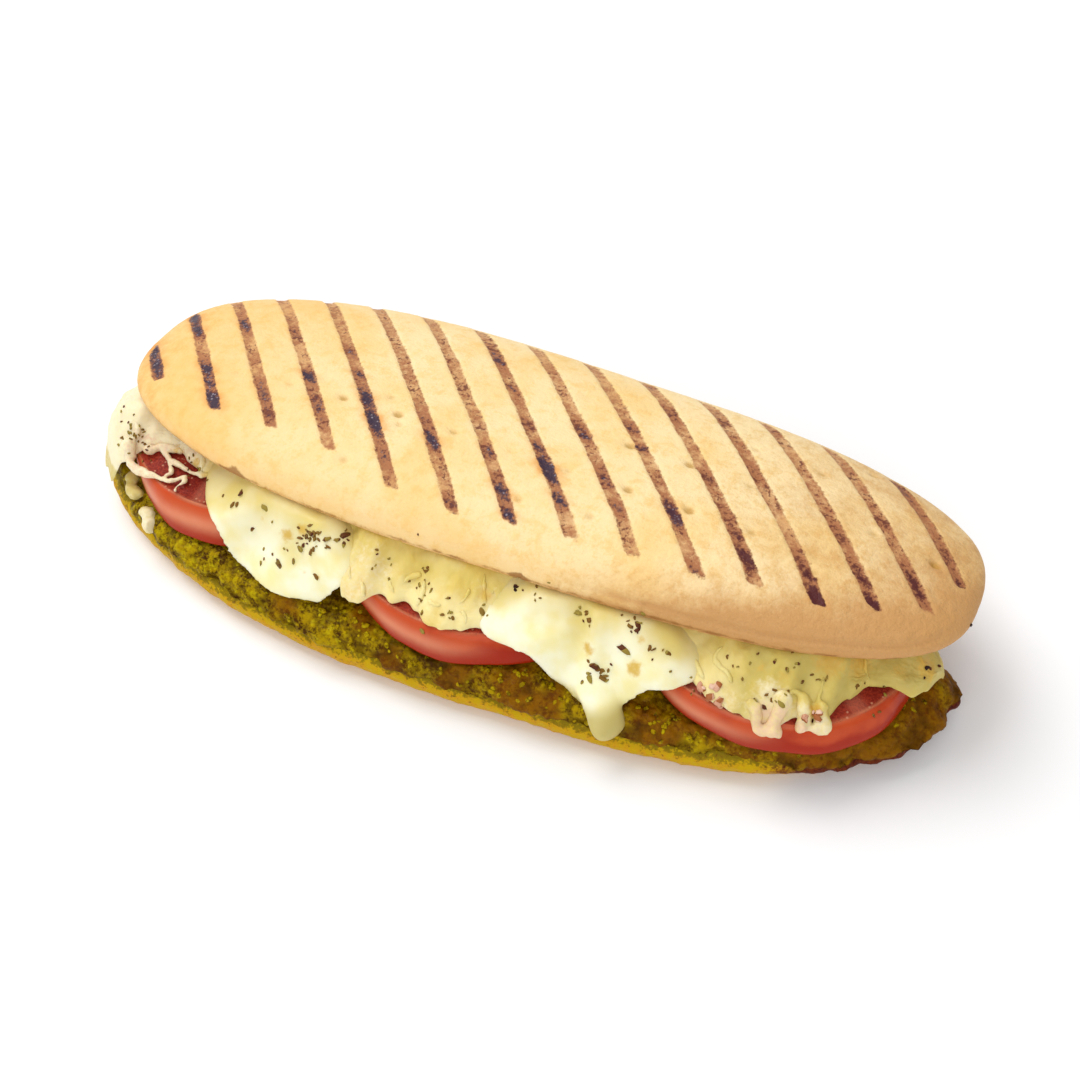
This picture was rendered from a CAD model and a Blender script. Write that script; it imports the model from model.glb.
"""The finish of a grilled panini: crusts, pesto, tomato slices, melted cheese, herbs and crumbs.

Every piece is built in millimetres in the loaf's own frame, where X runs along the bread, -Y is the open
front and Z is up, and is moved onto the solids when its mesh is made.
"""

import logging
import math
from dataclasses import dataclass, field
from enum import Enum
from typing import Callable, Iterator, Sequence

import bpy
import numpy as np
from mathutils import Matrix, Vector
from mathutils.bvhtree import BVHTree


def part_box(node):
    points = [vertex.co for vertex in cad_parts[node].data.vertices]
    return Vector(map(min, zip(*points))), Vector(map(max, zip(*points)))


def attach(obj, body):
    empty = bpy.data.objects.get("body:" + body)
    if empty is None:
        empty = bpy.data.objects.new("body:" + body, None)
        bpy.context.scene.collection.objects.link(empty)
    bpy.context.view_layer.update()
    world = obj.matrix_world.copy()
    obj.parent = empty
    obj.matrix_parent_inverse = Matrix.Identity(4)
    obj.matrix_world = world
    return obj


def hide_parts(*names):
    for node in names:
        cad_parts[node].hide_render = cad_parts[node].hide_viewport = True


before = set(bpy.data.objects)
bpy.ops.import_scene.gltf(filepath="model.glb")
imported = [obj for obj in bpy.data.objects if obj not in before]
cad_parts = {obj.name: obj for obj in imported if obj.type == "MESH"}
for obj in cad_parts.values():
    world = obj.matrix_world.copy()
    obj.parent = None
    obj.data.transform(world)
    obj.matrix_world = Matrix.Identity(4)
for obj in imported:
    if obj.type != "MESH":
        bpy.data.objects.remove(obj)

LOG = logging.getLogger("panini")
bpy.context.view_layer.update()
MM = 0.001
BODY = "root"
PHOTO_SIZE = 1080
Piece = bpy.types.Object
Material = bpy.types.Material
Array = np.ndarray
Field = Callable[[Array], Array]
Skin = tuple[Array, list[Array]]
Hit = tuple[Array, Array]
Spots = Sequence[tuple[Array, float, float]]
Colour = tuple[float, float, float, float]


def linear(red: float, green: float, blue: float) -> Colour:
    """Turns a screen colour of 0 to 255 into the linear colour that a shader takes.

    Args:
        red: Red as seen on a screen.
        green: Green as seen on a screen.
        blue: Blue as seen on a screen.

    Returns:
        The linear colour with an alpha of 1.
    """
    parts = []
    for value in (red, green, blue):
        share = value / 255.0
        parts.append(share / 12.92 if share <= 0.04045 else ((share + 0.055) / 1.055) ** 2.4)
    return (*parts, 1.0)


def smooth_step(start: float, end: float, value: Array) -> Array:
    """Rises smoothly from 0 at start to 1 at end.

    Args:
        start: Where the rise begins.
        end: Where the rise is over.
        value: The places to read.

    Returns:
        The share, between 0 and 1.
    """
    t = np.clip((value - start) / (end - start), 0.0, 1.0)
    return t * t * (3.0 - 2.0 * t)


def quarter_round(share: Array) -> Array:
    """Rises from 0 to 1 like a quarter circle, upright at 0 and level at 1."""
    return np.sqrt(np.maximum(0.0, 1.0 - (1.0 - np.clip(share, 0.0, 1.0)) ** 2))


class SmoothNoise:
    """Gradient noise and cell noise on arrays of points, the same on every run."""

    lattice = 256
    gain = 1.6
    layer_step = 31.7

    def __init__(self, seed: int) -> None:
        """Draws the lattice's order and directions.

        Args:
            seed: Picks one of many like patterns.
        """
        draw = np.random.default_rng(seed)
        self._order = np.tile(draw.permutation(self.lattice), 3)
        directions = draw.normal(size=(self.lattice, 3))
        self._directions = directions / np.linalg.norm(directions, axis=1)[:, None]
        self._shares = draw.random((self.lattice, 4))

    def _corner(self, cell: Array) -> Array:
        """The lattice entry of each cell, given as whole numbers."""
        wrapped = cell & (self.lattice - 1)
        order = self._order
        return order[order[order[wrapped[:, 0]] + wrapped[:, 1]] + wrapped[:, 2]]

    def at(self, points: Array, size: float | Sequence[float]) -> Array:
        """Smooth relief of one scale.

        Args:
            points: An N x 3 array in millimetres.
            size: How large its features are, for all axes or for each.

        Returns:
            N values between about -1 and 1.
        """
        scaled = points / np.asarray(size, float)
        cell = np.floor(scaled).astype(int)
        inside = scaled - cell
        weight = inside**3 * (inside * (inside * 6 - 15) + 10)
        total = np.zeros(len(points))
        for corner in np.ndindex(2, 2, 2):
            offset = np.array(corner)
            push = self._directions[self._corner(cell + offset)]
            share = np.prod(np.where(offset == 1, weight, 1 - weight), axis=1)
            total += share * np.einsum("ij,ij->i", push, inside - offset)
        return self.gain * total

    def layered(self, points: Array, size: float | Sequence[float], layers: int = 3) -> Array:
        """Smooth relief with finer relief on top, each layer half the size and strength of the last."""
        size = np.asarray(size, float)
        return sum(0.5**k * self.at(points + self.layer_step * k, size * 0.5**k) for k in range(layers))

    def waves(self, points: Array, *scales: tuple[float, float]) -> Array:
        """The sum of smooth reliefs, each given by its height and the size of its features."""
        return sum(height * self.at(points, size) for height, size in scales)

    def cells(self, points: Array, size: float) -> tuple[Array, Array]:
        """The distance to the nearest of scattered points, in cell sizes, and that point's own number.

        Args:
            points: An N x 3 array in millimetres.
            size: The mean distance between the scattered points.

        Returns:
            The distances, and a number between 0 and 1 that is the same all round one scattered point.
        """
        scaled = points / size
        cell = np.floor(scaled).astype(int)
        nearest = np.full(len(points), 9.0)
        number = np.zeros(len(points))
        for offset in np.ndindex(3, 3, 3):
            home = cell + np.array(offset) - 1
            shares = self._shares[self._corner(home)]
            distance = np.linalg.norm(home + shares[:, :3] - scaled, axis=1)
            closer = distance < nearest
            nearest[closer] = distance[closer]
            number[closer] = shares[closer, 3]
        return nearest, number


@dataclass(frozen=True)
class Loaf:
    """The form of the two bread halves and of the levels between them, in millimetres."""

    touch_gap: float = 0.35
    lower_half_length: float = 126.5
    lower_half_width: float = 47.4
    lower_centre_x: float = -2.8
    lower_power: float = 2.03
    lower_uneven: float = 0.03
    lower_uneven_length: float = 160.0
    lower_widest_at: float = 95.0
    lower_widest_height: float = 5.5
    lower_base_share: float = 0.87
    cut_top: float = 14.0
    cut_sag: float = 3.0
    cut_sag_more_at_front: float = 1.0
    cut_rim_sag: float = 3.0
    lobe_length: float = 4.5
    lobe_half_width: float = 8.0
    lobe_y: float = 7.0
    lobe_root: float = 104.0
    upper_half_length: float = 122.9
    upper_half_width: float = 43.2
    upper_power: float = 2.78
    upper_taper: float = 0.03
    upper_centre: tuple[float, float, float] = (1.8, 16.6, 30.0)
    upper_tilt: float = math.radians(-6.6)
    upper_height: float = 18.8
    upper_dome_power: float = 2.8
    upper_widest_height: float = 3.5
    pesto_thickness: float = 2.6
    pesto_bump: float = 0.75
    pesto_rim_gap: float = 0.65
    tomato_thickness: float = 7.5

    def lower_broadest(self, x: Array) -> Array:
        """How wide the lower half would be at x without its rounded ends."""
        wave = np.cos(2 * math.pi * (x - self.lower_widest_at) / self.lower_uneven_length)
        return self.lower_half_width * (1.0 + self.lower_uneven * wave)

    def lower_radius(self, x: Array, y: Array) -> Array:
        """The plan radius on the lower half: 0 at its middle and 1 on its rim."""
        along = np.abs((x - self.lower_centre_x) / self.lower_half_length) ** self.lower_power
        across = np.abs(y / self.lower_broadest(x)) ** self.lower_power
        return (along + across) ** (1 / self.lower_power)

    def lower_width_at(self, x: Array) -> Array:
        """Half the lower half's width at x."""
        along = np.clip(np.abs((x - self.lower_centre_x) / self.lower_half_length), 0.0, 1.0)
        return self.lower_broadest(x) * (1 - along**self.lower_power) ** (1 / self.lower_power)

    def with_lobe(self, points: Array) -> Array:
        """Pulls the right end of the lower half out into a small crisp lobe."""
        near = 1.0 - smooth_step(0.0, self.lobe_half_width, np.abs(points[:, 1] - self.lobe_y))
        tip = self.lower_centre_x + self.lower_half_length
        moved = points.copy()
        moved[:, 0] += self.lobe_length * near * smooth_step(self.lobe_root, tip, points[:, 0])
        return moved

    def upper_radius(self, x: Array, y: Array) -> Array:
        """The plan radius on the upper half, in its own frame."""
        taper = self.upper_taper * np.sin(math.pi * x / self.upper_half_length)
        broadest = self.upper_half_width * (1 - taper)
        along = np.abs(x / self.upper_half_length) ** self.upper_power
        across = np.abs(y / broadest) ** self.upper_power
        return (along + across) ** (1 / self.upper_power)

    def upper_to_loaf(self, points: Array) -> Array:
        """Moves points from the upper half's own frame to where it rests."""
        cos, sin = math.cos(self.upper_tilt), math.sin(self.upper_tilt)
        x, y, z = points.T
        return np.stack([x, y * cos - z * sin, y * sin + z * cos], axis=1) + np.array(self.upper_centre)

    def loaf_to_upper(self, points: Array) -> Array:
        """Moves points from the loaf's frame to the upper half's own frame."""
        cos, sin = math.cos(self.upper_tilt), math.sin(self.upper_tilt)
        x, y, z = (points - np.array(self.upper_centre)).T
        return np.stack([x, y * cos + z * sin, z * cos - y * sin], axis=1)

    def cut_height(self, x: Array, y: Array) -> Array:
        """The cut face of the lower half, which sags towards its rim."""
        radius = np.minimum(1.05, self.lower_radius(x, y))
        sag = self.cut_sag - self.cut_sag_more_at_front * y / self.lower_half_width
        return self.cut_top - sag * radius**4 - self.cut_rim_sag * radius**14

    def pesto_floor(self, x: Array, y: Array) -> Array:
        """The underside of the pesto."""
        rim = smooth_step(0.7, 0.95, self.lower_radius(x, y))
        return self.cut_height(x, y) + self.touch_gap + self.pesto_rim_gap * rim

    def pesto_top(self, x: Array, y: Array) -> Array:
        """The highest level that the pesto reaches."""
        return self.pesto_floor(x, y) + self.pesto_thickness + self.pesto_bump

    def lid_height(self, y: Array) -> Array:
        """The flat underside of the upper half."""
        return self.upper_centre[2] + (y - self.upper_centre[1]) * math.tan(self.upper_tilt)


LOAF = Loaf()


def frame_shift() -> Array:
    """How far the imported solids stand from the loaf's own frame, in millimetres."""
    low, high = (np.array(corner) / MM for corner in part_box("bread_bottom"))
    left_tip = LOAF.lower_centre_x - LOAF.lower_half_length
    return np.array([low[0] - left_tip, (low[1] + high[1]) / 2, 0.0])


SHIFT = frame_shift()


def to_frame(points: Array) -> Array:
    """Turns millimetres in the loaf's frame into metres in the shared frame."""
    return (points + SHIFT) * MM


def to_loaf(points: Array) -> Array:
    """Turns metres in the shared frame into millimetres in the loaf's frame."""
    return points / MM - SHIFT


class Socket:
    """A shader socket that takes part in Python expressions."""

    def __init__(self, graph: "Graph", link: bpy.types.NodeSocket) -> None:
        """Keeps the socket and the graph it belongs to.

        Args:
            graph: The material's graph.
            link: The output socket of a node.
        """
        self.graph = graph
        self.link = link

    def _math(self, operation: str, *values: "Socket | float") -> "Socket":
        """One Math node on this value and others."""
        return self.graph.node("ShaderNodeMath", {"operation": operation}, values).out()

    def __add__(self, other: "Socket | float") -> "Socket":
        """The sum."""
        return self._math("ADD", self, other)

    def __radd__(self, other: float) -> "Socket":
        """The sum, with the number first."""
        return self._math("ADD", other, self)

    def __sub__(self, other: "Socket | float") -> "Socket":
        """The difference."""
        return self._math("SUBTRACT", self, other)

    def __rsub__(self, other: float) -> "Socket":
        """The difference, with the number first."""
        return self._math("SUBTRACT", other, self)

    def __mul__(self, other: "Socket | float") -> "Socket":
        """The product."""
        return self._math("MULTIPLY", self, other)

    def __rmul__(self, other: float) -> "Socket":
        """The product, with the number first."""
        return self._math("MULTIPLY", other, self)

    def between(self, low: float, high: float) -> "Socket":
        """A smooth share that is 0 at low and 1 at high."""
        settings = {"interpolation_type": "SMOOTHSTEP", "clamp": True}
        values = {"Value": self, "From Min": low, "From Max": high, "To Min": 0.0, "To Max": 1.0}
        return self.graph.node("ShaderNodeMapRange", settings, values).out("Result")


class Node:
    """A shader node with its outputs by name."""

    def __init__(self, graph: "Graph", made: bpy.types.Node) -> None:
        """Keeps the node.

        Args:
            graph: The material's graph.
            made: The node itself.
        """
        self.graph = graph
        self.made = made

    def out(self, name: str | int = 0) -> Socket:
        """One output socket of the node."""
        return Socket(self.graph, self.made.outputs[name])


class Graph:
    """A material's node tree, built up from expressions."""

    def __init__(self, name: str) -> None:
        """Makes an empty material.

        Args:
            name: The material's name.
        """
        self.material = bpy.data.materials.new(name)
        self.material.use_nodes = True
        self.tree = self.material.node_tree
        self.tree.nodes.clear()

    def node(self, kind: str, settings: dict | None = None, values: dict | Sequence = ()) -> Node:
        """Adds any node.

        Args:
            kind: The node's type.
            settings: Its properties, set first.
            values: The values or links of its input sockets, by name or in order.

        Returns:
            The node.
        """
        made = self.tree.nodes.new(kind)
        for key, value in (settings or {}).items():
            setattr(made, key, value)
        pairs = values.items() if isinstance(values, dict) else enumerate(values)
        for key, value in pairs:
            if isinstance(value, Socket):
                self.tree.links.new(value.link, made.inputs[key])
            else:
                made.inputs[key].default_value = value
        return Node(self, made)

    def place(self) -> Socket:
        """The point on the object, in metres."""
        return self.node("ShaderNodeTexCoord").out("Object")

    def attribute(self, name: str) -> Socket:
        """A value kept on the mesh's points."""
        return self.node("ShaderNodeAttribute", {"attribute_name": name}).out("Fac")

    def noise(self, size_mm: float, detail: float = 3.0, rough: float = 0.55) -> Socket:
        """Cloudy noise around 0.5.

        Args:
            size_mm: How large its features are.
            detail: How many finer layers it has.
            rough: How strong the finer layers are.

        Returns:
            The noise value.
        """
        scale = 1.0 / (size_mm * MM)
        values = {"Vector": self.place(), "Scale": scale, "Detail": detail, "Roughness": rough}
        return self.node("ShaderNodeTexNoise", {}, values).out("Fac")

    def cells(self, size_mm: float) -> Node:
        """Scattered cells of about the size."""
        return self.node("ShaderNodeTexVoronoi", {}, {"Vector": self.place(), "Scale": 1.0 / (size_mm * MM)})

    def grey(self, colour: Socket) -> Socket:
        """The brightness of a colour, as a value."""
        return self.node("ShaderNodeRGBToBW", {}, {"Color": colour}).out()

    def mix(self, share: Socket | float, first: Socket | Sequence, second: Socket | Sequence) -> Socket:
        """Blends two colours.

        Args:
            share: 0 for the first colour and 1 for the second.
            first: The first colour.
            second: The second colour.

        Returns:
            The blended colour.
        """
        values = {0: share, 6: first, 7: second}
        return self.node("ShaderNodeMix", {"data_type": "RGBA"}, values).out(2)

    def coats(self, base: Socket | Sequence, *coats: tuple) -> Socket:
        """Lays coats of colour over a base.

        Args:
            base: The colour underneath.
            coats: The share and the colour of each coat, the lowest first.

        Returns:
            The blended colour.
        """
        for share, colour in coats:
            base = self.mix(share, base, colour)
        return base

    def bump(self, height: Socket, depth_mm: float, strength: float = 1.0) -> Socket:
        """A normal from a height between 0 and 1, for a relief of the given depth."""
        values = {"Height": height, "Distance": depth_mm * MM, "Strength": strength}
        return self.node("ShaderNodeBump", {}, values).out()

    def finish(self, colour: Socket, rough: Socket | float, normal: Socket | None, steady: dict) -> None:
        """Feeds the shader and closes the graph.

        Args:
            colour: The base colour.
            rough: The roughness.
            normal: The bumped normal, if any.
            steady: The sockets that hold one number or colour all over.
        """
        values = {"Base Color": colour, "Roughness": rough, **steady}
        if normal is not None:
            values["Normal"] = normal
        shader = self.node("ShaderNodeBsdfPrincipled", {}, values)
        surface = self.node("ShaderNodeOutputMaterial")
        self.tree.links.new(shader.out().link, surface.made.inputs["Surface"])


def soft_depth(weight: float, radius: tuple[float, float, float], reach_mm: float) -> dict:
    """The steady shader values of a food that light enters a little way.

    Args:
        weight: How much of the light enters.
        radius: How far each colour spreads, as shares.
        reach_mm: The greatest spread.

    Returns:
        The values by socket name.
    """
    return {
        "Subsurface Weight": weight,
        "Subsurface Radius": radius,
        "Subsurface Scale": reach_mm * MM,
    }


class Relief(Enum):
    """How strongly a surface's fine relief shows, as the depth of its bump in millimetres."""

    SILKY = 0.05
    FINE = 0.12
    GRAINY = 0.3
    COARSE = 0.6


@dataclass(frozen=True)
class CrustFinish:
    """Pale golden grilled crust, with brown marks and dark char where the mesh says so."""

    pale: tuple = linear(251, 224, 170)
    golden: tuple = linear(245, 206, 132)
    amber: tuple = linear(245, 192, 108)
    tan: tuple = linear(202, 150, 92)
    orange: tuple = linear(228, 156, 80)
    rim: tuple = linear(150, 98, 46)
    mark_light: tuple = linear(208, 152, 100)
    mark: tuple = linear(170, 108, 70)
    mark_dark: tuple = linear(104, 50, 40)
    char: tuple = linear(54, 40, 60)
    char_red: tuple = linear(84, 34, 36)
    pit: tuple = linear(186, 140, 60)
    ash: tuple = linear(156, 144, 152)
    relief: Relief = Relief.COARSE

    def build(self) -> Material:
        """Makes the material.

        Returns:
            The crust's material.
        """
        graph = Graph("grilled_crust")
        cloud = graph.noise(26.0, 4.0)
        mottle = graph.noise(4.2, 5.0, 0.68)
        speck = graph.noise(0.9, 3.0, 0.65)
        grain = graph.noise(1.7, 4.0, 0.75)
        clump = graph.noise(1.3, 4.0, 0.7)
        patch = graph.noise(5.0, 2.0)
        char = graph.attribute("char")
        blue = graph.attribute("blue")
        ragged = (speck - 0.5) * 0.7 + (grain - 0.5) * 0.7
        mark = (graph.attribute("mark") + ragged).between(0.15, 0.85)
        browned = mark * (grain * 0.7 + graph.noise(7.0, 2.0) * 0.55 + char * 0.5).between(0.5, 0.78)
        dotted = (clump + (patch - 0.5) * 0.5 + char * 0.1).between(0.56, 0.66)
        burnt = (char + (grain - 0.5) * 1.5 + (speck - 0.5) * 1.2).between(0.36, 0.85)
        burnt = burnt * mark.between(0.0, 0.5)
        fleck = graph.cells(0.8)
        ashen = fleck.out("Distance").between(0.5, 0.2) * graph.grey(fleck.out("Color")).between(0.6, 0.7)
        colour = graph.coats(
            self._plain(graph, cloud, mottle, speck),
            (mark * (0.45 + grain * 0.7), self.mark_light),
            (browned * 0.9, self.mark),
            (mark * dotted * 0.85, self.mark_dark),
            (burnt * 0.95, graph.mix(blue, self.char_red, self.char)),
            (burnt * ashen * blue * 0.85, self.ash),
        )
        wrinkle = graph.noise(2.1, 3.0, 0.6) * (0.35 + graph.attribute("toast") * 0.5)
        height = mottle * 0.3 + wrinkle + speck * 0.25 + grain * mark * 0.6
        steady = {"Specular IOR Level": 0.2, **soft_depth(0.03, (1.0, 0.55, 0.2), 1.0)}
        graph.finish(colour, 0.6 - burnt * 0.2, graph.bump(height, self.relief.value), steady)
        return graph.material

    def _plain(self, graph: Graph, cloud: Socket, mottle: Socket, speck: Socket) -> Socket:
        """The crust's colour between its marks.

        Args:
            graph: The material's graph.
            cloud: Slow noise.
            mottle: Noise of a few millimetres.
            speck: Fine noise.

        Returns:
            The colour.
        """
        toast = graph.attribute("toast") + (mottle - 0.5) * 0.7 + (speck - 0.5) * 0.3
        halo = graph.attribute("halo") * (0.3 + mottle * 1.2)
        edge = graph.attribute("edge") + (mottle - 0.5) * 1.2
        return graph.coats(
            self.pale,
            (cloud.between(0.38, 0.66) * 0.7, self.golden),
            ((mottle * 0.7 + speck * 0.3).between(0.46, 0.62) * 0.6, self.golden),
            ((mottle * 0.6 + cloud * 0.4).between(0.52, 0.66) * 0.35, self.amber),
            (graph.attribute("warm") * (0.35 + mottle * 0.8), self.amber),
            (toast.between(0.05, 1.0) * 0.95, self.tan),
            (halo.between(0.1, 0.9), self.orange),
            (graph.attribute("pit").between(0.15, 0.9) * 0.75, self.pit),
            (edge.between(0.35, 0.8) * 0.8, self.rim),
        )


@dataclass(frozen=True)
class OiledCrustFinish:
    """The lower crust, soaked with yellow oil at its rim and browned at its right end."""

    oily: tuple = linear(196, 160, 6)
    green: tuple = linear(124, 108, 6)
    golden: tuple = linear(202, 148, 22)
    brown: tuple = linear(112, 48, 16)
    burnt: tuple = linear(74, 18, 14)
    base: tuple = linear(226, 172, 96)
    mark: tuple = linear(140, 82, 44)

    def build(self) -> Material:
        """Makes the material.

        Returns:
            The lower crust's material.
        """
        graph = Graph("oiled_crust")
        mottle = graph.noise(2.6, 5.0, 0.7)
        speck = graph.noise(0.9, 3.0, 0.65)
        under = graph.attribute("under")
        stain = graph.attribute("stain") * 0.75 + (mottle - 0.5) * 2.4 + (speck - 0.5) * 1.6
        brown = graph.attribute("brown") + (speck - 0.5) * 0.7 + (mottle - 0.5) * 0.9
        scorched = brown.between(0.25, 0.8)
        colour = graph.coats(
            self.oily,
            (mottle.between(0.4, 0.62), self.golden),
            (stain.between(0.3, 0.7) * 0.85, self.green),
            ((speck * 0.6 + mottle * 0.4).between(0.56, 0.68) * 0.7, self.brown),
            (under * 0.9, self.base),
            (graph.attribute("mark") * (0.4 + speck * 0.6), self.mark),
            (scorched, self.brown),
            ((scorched * (speck + mottle * 0.5)).between(0.62, 0.95), self.burnt),
        )
        height = mottle * 0.5 + speck * 0.5
        steady = {"Specular IOR Level": 0.07, "Coat Weight": 0.0, **soft_depth(0.05, (1.0, 0.6, 0.1), 1.0)}
        graph.finish(colour, 0.42 + under * 0.2, graph.bump(height, Relief.COARSE.value), steady)
        return graph.material


@dataclass(frozen=True)
class PestoFinish:
    """Coarse olive pesto with dark pits, lime bits and wet oil."""

    olive: tuple = linear(170, 140, 3)
    lime: tuple = linear(194, 178, 14)
    dark: tuple = linear(66, 38, 2)
    brown: tuple = linear(122, 66, 3)

    def build(self) -> Material:
        """Makes the material.

        Returns:
            The pesto's material.
        """
        graph = Graph("pesto")
        lumps = graph.noise(3.4, 5.0, 0.7)
        fine = graph.noise(0.8, 3.0, 0.7)
        own = graph.grey(graph.cells(1.2).out("Color"))
        brown = graph.attribute("brown")
        lit = (own * 0.5 + lumps * 0.7 - brown * 0.4).between(0.54, 0.86) * fine.between(0.3, 0.6)
        baked = (brown + (graph.noise(13.0) - 0.5) * 1.2).between(0.1, 0.9)
        colour = graph.coats(
            self.dark,
            ((lumps * 0.7 + fine * 0.4).between(0.42, 0.64), self.olive),
            (lit * 0.65, self.lime),
            (baked * (0.35 + lumps * 0.8), self.brown),
            (graph.attribute("pit") * 0.85, self.dark),
        )
        height = lumps * 0.5 + fine * 0.5
        steady = {"Specular IOR Level": 0.04, "Coat Weight": 0.015, "Coat Roughness": 0.1}
        graph.finish(colour, 0.34 + fine * 0.2, graph.bump(height, Relief.GRAINY.value), steady)
        return graph.material


@dataclass(frozen=True)
class TomatoFinish:
    """A ripe slice: glossy skin, a thin pale line and a granular wet cut face."""

    skin: tuple = linear(196, 76, 36)
    skin_deep: tuple = linear(164, 40, 14)
    shine: tuple = linear(226, 148, 112)
    line: tuple = linear(226, 142, 100)
    flesh: tuple = linear(168, 58, 38)
    flesh_deep: tuple = linear(118, 26, 18)
    seed: tuple = linear(232, 176, 140)
    rib: tuple = linear(224, 150, 120)

    def build(self) -> Material:
        """Makes the material.

        Returns:
            The tomato's material.
        """
        graph = Graph("tomato")
        cut = graph.attribute("cut")
        cloud = graph.noise(11.0)
        grain = graph.noise(0.6, 3.0, 0.7)
        deep = cloud + (graph.attribute("low") - 0.5) * 0.7
        skin = graph.coats(
            self.skin,
            (deep.between(0.3, 0.7), self.skin_deep),
            (graph.attribute("shine") * (0.25 + cloud * 0.8), self.shine),
        )
        fleck = graph.cells(1.3)
        wet = fleck.out("Distance").between(0.35, 0.15) * graph.grey(fleck.out("Color")).between(0.62, 0.7)
        flesh = graph.coats(
            self.flesh,
            ((grain * 0.6 + cloud * 0.4).between(0.38, 0.62), self.flesh_deep),
            (graph.attribute("rib") * 0.22, self.rib),
            (wet * 0.5, self.seed),
        )
        line = graph.attribute("line") * (0.25 + cloud * 0.6)
        colour = graph.coats(skin, (cut, flesh), (line, self.line))
        steady = {"Specular IOR Level": 0.1, "Coat Weight": 0.12 - cut * 0.08, "Coat Roughness": 0.15}
        steady.update(soft_depth(0.08, (1.0, 0.25, 0.1), 2.0))
        graph.finish(colour, 0.26 + cut * 0.14, graph.bump(grain * cut, Relief.GRAINY.value), steady)
        return graph.material


@dataclass(frozen=True)
class MeltFinish:
    """Melted cheese: cream or white, yellower in its hollows, with toasted spots."""

    name: str
    pale: tuple
    yellow: tuple
    hollow: tuple = linear(214, 190, 92)
    toast: tuple = linear(216, 178, 80)
    toast_deep: tuple = linear(160, 96, 32)
    runny: tuple = linear(190, 172, 92)
    milky: tuple = linear(246, 236, 204)
    blushed: tuple = linear(222, 172, 146)
    grain_mm: float = 1.2
    relief: Relief = Relief.FINE
    gloss: float = 0.36

    def build(self) -> Material:
        """Makes the material.

        Returns:
            The cheese's material.
        """
        graph = Graph(self.name)
        cloud = graph.noise(11.0, 2.0)
        grain = graph.noise(self.grain_mm, 3.0, 0.6)
        toast = graph.attribute("toast")
        hollow = graph.attribute("hollow") + (cloud - 0.5) * 0.5
        milky = graph.attribute("milky") + (grain - 0.5) * 0.8 + (cloud - 0.5) * 0.8
        blushed = graph.attribute("blushed") + (grain - 0.5) * 1.2
        colour = graph.coats(
            self.pale,
            ((cloud * 0.85 + grain * 0.15).between(0.38, 0.66), self.yellow),
            (hollow.between(0.1, 1.0) * 0.85, self.hollow),
            (graph.attribute("thin") * 0.85, self.runny),
            (milky.between(0.2, 0.9) * 0.8, self.milky),
            (blushed.between(0.35, 0.9) * 0.55, self.blushed),
            ((toast + (grain - 0.5) * 0.9).between(0.22, 0.75) * 0.95, self.toast),
            ((toast + (grain - 0.5) * 1.3).between(0.8, 1.15) * 0.8, self.toast_deep),
        )
        height = cloud * 0.5 + grain * 0.5
        steady = {"Specular IOR Level": 0.25, "Coat Weight": 0.06, "Coat Roughness": 0.2}
        steady.update(soft_depth(0.25, (1.0, 0.85, 0.5), 2.5))
        graph.finish(colour, self.gloss + grain * 0.1, graph.bump(height, self.relief.value), steady)
        return graph.material


@dataclass(frozen=True)
class BitFinish:
    """Small dry or wet bits whose colour changes from one to the next."""

    name: str
    first: tuple
    second: tuple
    third: tuple
    spread_mm: float = 2.2
    rough: float = 0.6

    def build(self) -> Material:
        """Makes the material.

        Returns:
            The bits' material.
        """
        graph = Graph(self.name)
        own = graph.grey(graph.cells(self.spread_mm).out("Color"))
        grain = graph.noise(0.5, 3.0, 0.7)
        colour = graph.coats(
            self.first,
            (own.between(0.3, 0.5), self.second),
            ((own + (grain - 0.5) * 0.4).between(0.6, 0.75), self.third),
        )
        steady = {"Specular IOR Level": 0.15}
        graph.finish(colour, self.rough, graph.bump(grain, Relief.FINE.value), steady)
        return graph.material


@dataclass(frozen=True)
class FloorFinish:
    """A plain pale floor."""

    pale: tuple = linear(254, 254, 254)
    shade: tuple = linear(251, 251, 252)

    def build(self) -> Material:
        """Makes the material.

        Returns:
            The floor's material.
        """
        graph = Graph("pale_floor")
        colour = graph.mix(graph.noise(400.0, 1.0).between(0.2, 0.8), self.pale, self.shade)
        graph.finish(colour, 0.9, None, {"Specular IOR Level": 0.1})
        return graph.material


def add_mesh(name: str, points: Array, faces: Sequence[Array], finish: Material) -> Piece:
    """Makes a smooth-shaded object from points in the loaf's millimetres.

    Args:
        name: The object's name.
        points: An N x 3 array.
        faces: Arrays of faces, each with the same number of corners in a row.
        finish: The material.

    Returns:
        The object, in the scene.
    """
    corners = np.concatenate([part.ravel() for part in faces])
    sizes = np.concatenate([np.full(len(part), part.shape[1]) for part in faces])
    starts = np.concatenate([[0], np.cumsum(sizes)[:-1]])
    mesh = bpy.data.meshes.new(name)
    mesh.vertices.add(len(points))
    mesh.vertices.foreach_set("co", to_frame(points).ravel())
    mesh.loops.add(len(corners))
    mesh.loops.foreach_set("vertex_index", corners.astype(np.int32))
    mesh.polygons.add(len(sizes))
    mesh.polygons.foreach_set("loop_start", starts.astype(np.int32))
    mesh.update(calc_edges=True)
    mesh.validate()
    mesh.shade_smooth()
    mesh.materials.append(finish)
    made = bpy.data.objects.new(name, mesh)
    bpy.context.scene.collection.objects.link(made)
    return made


def points_of(piece: Piece) -> Array:
    """The piece's points in the loaf's millimetres."""
    flat = np.empty(3 * len(piece.data.vertices))
    piece.data.vertices.foreach_get("co", flat)
    return to_loaf(flat.reshape(-1, 3))


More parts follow.
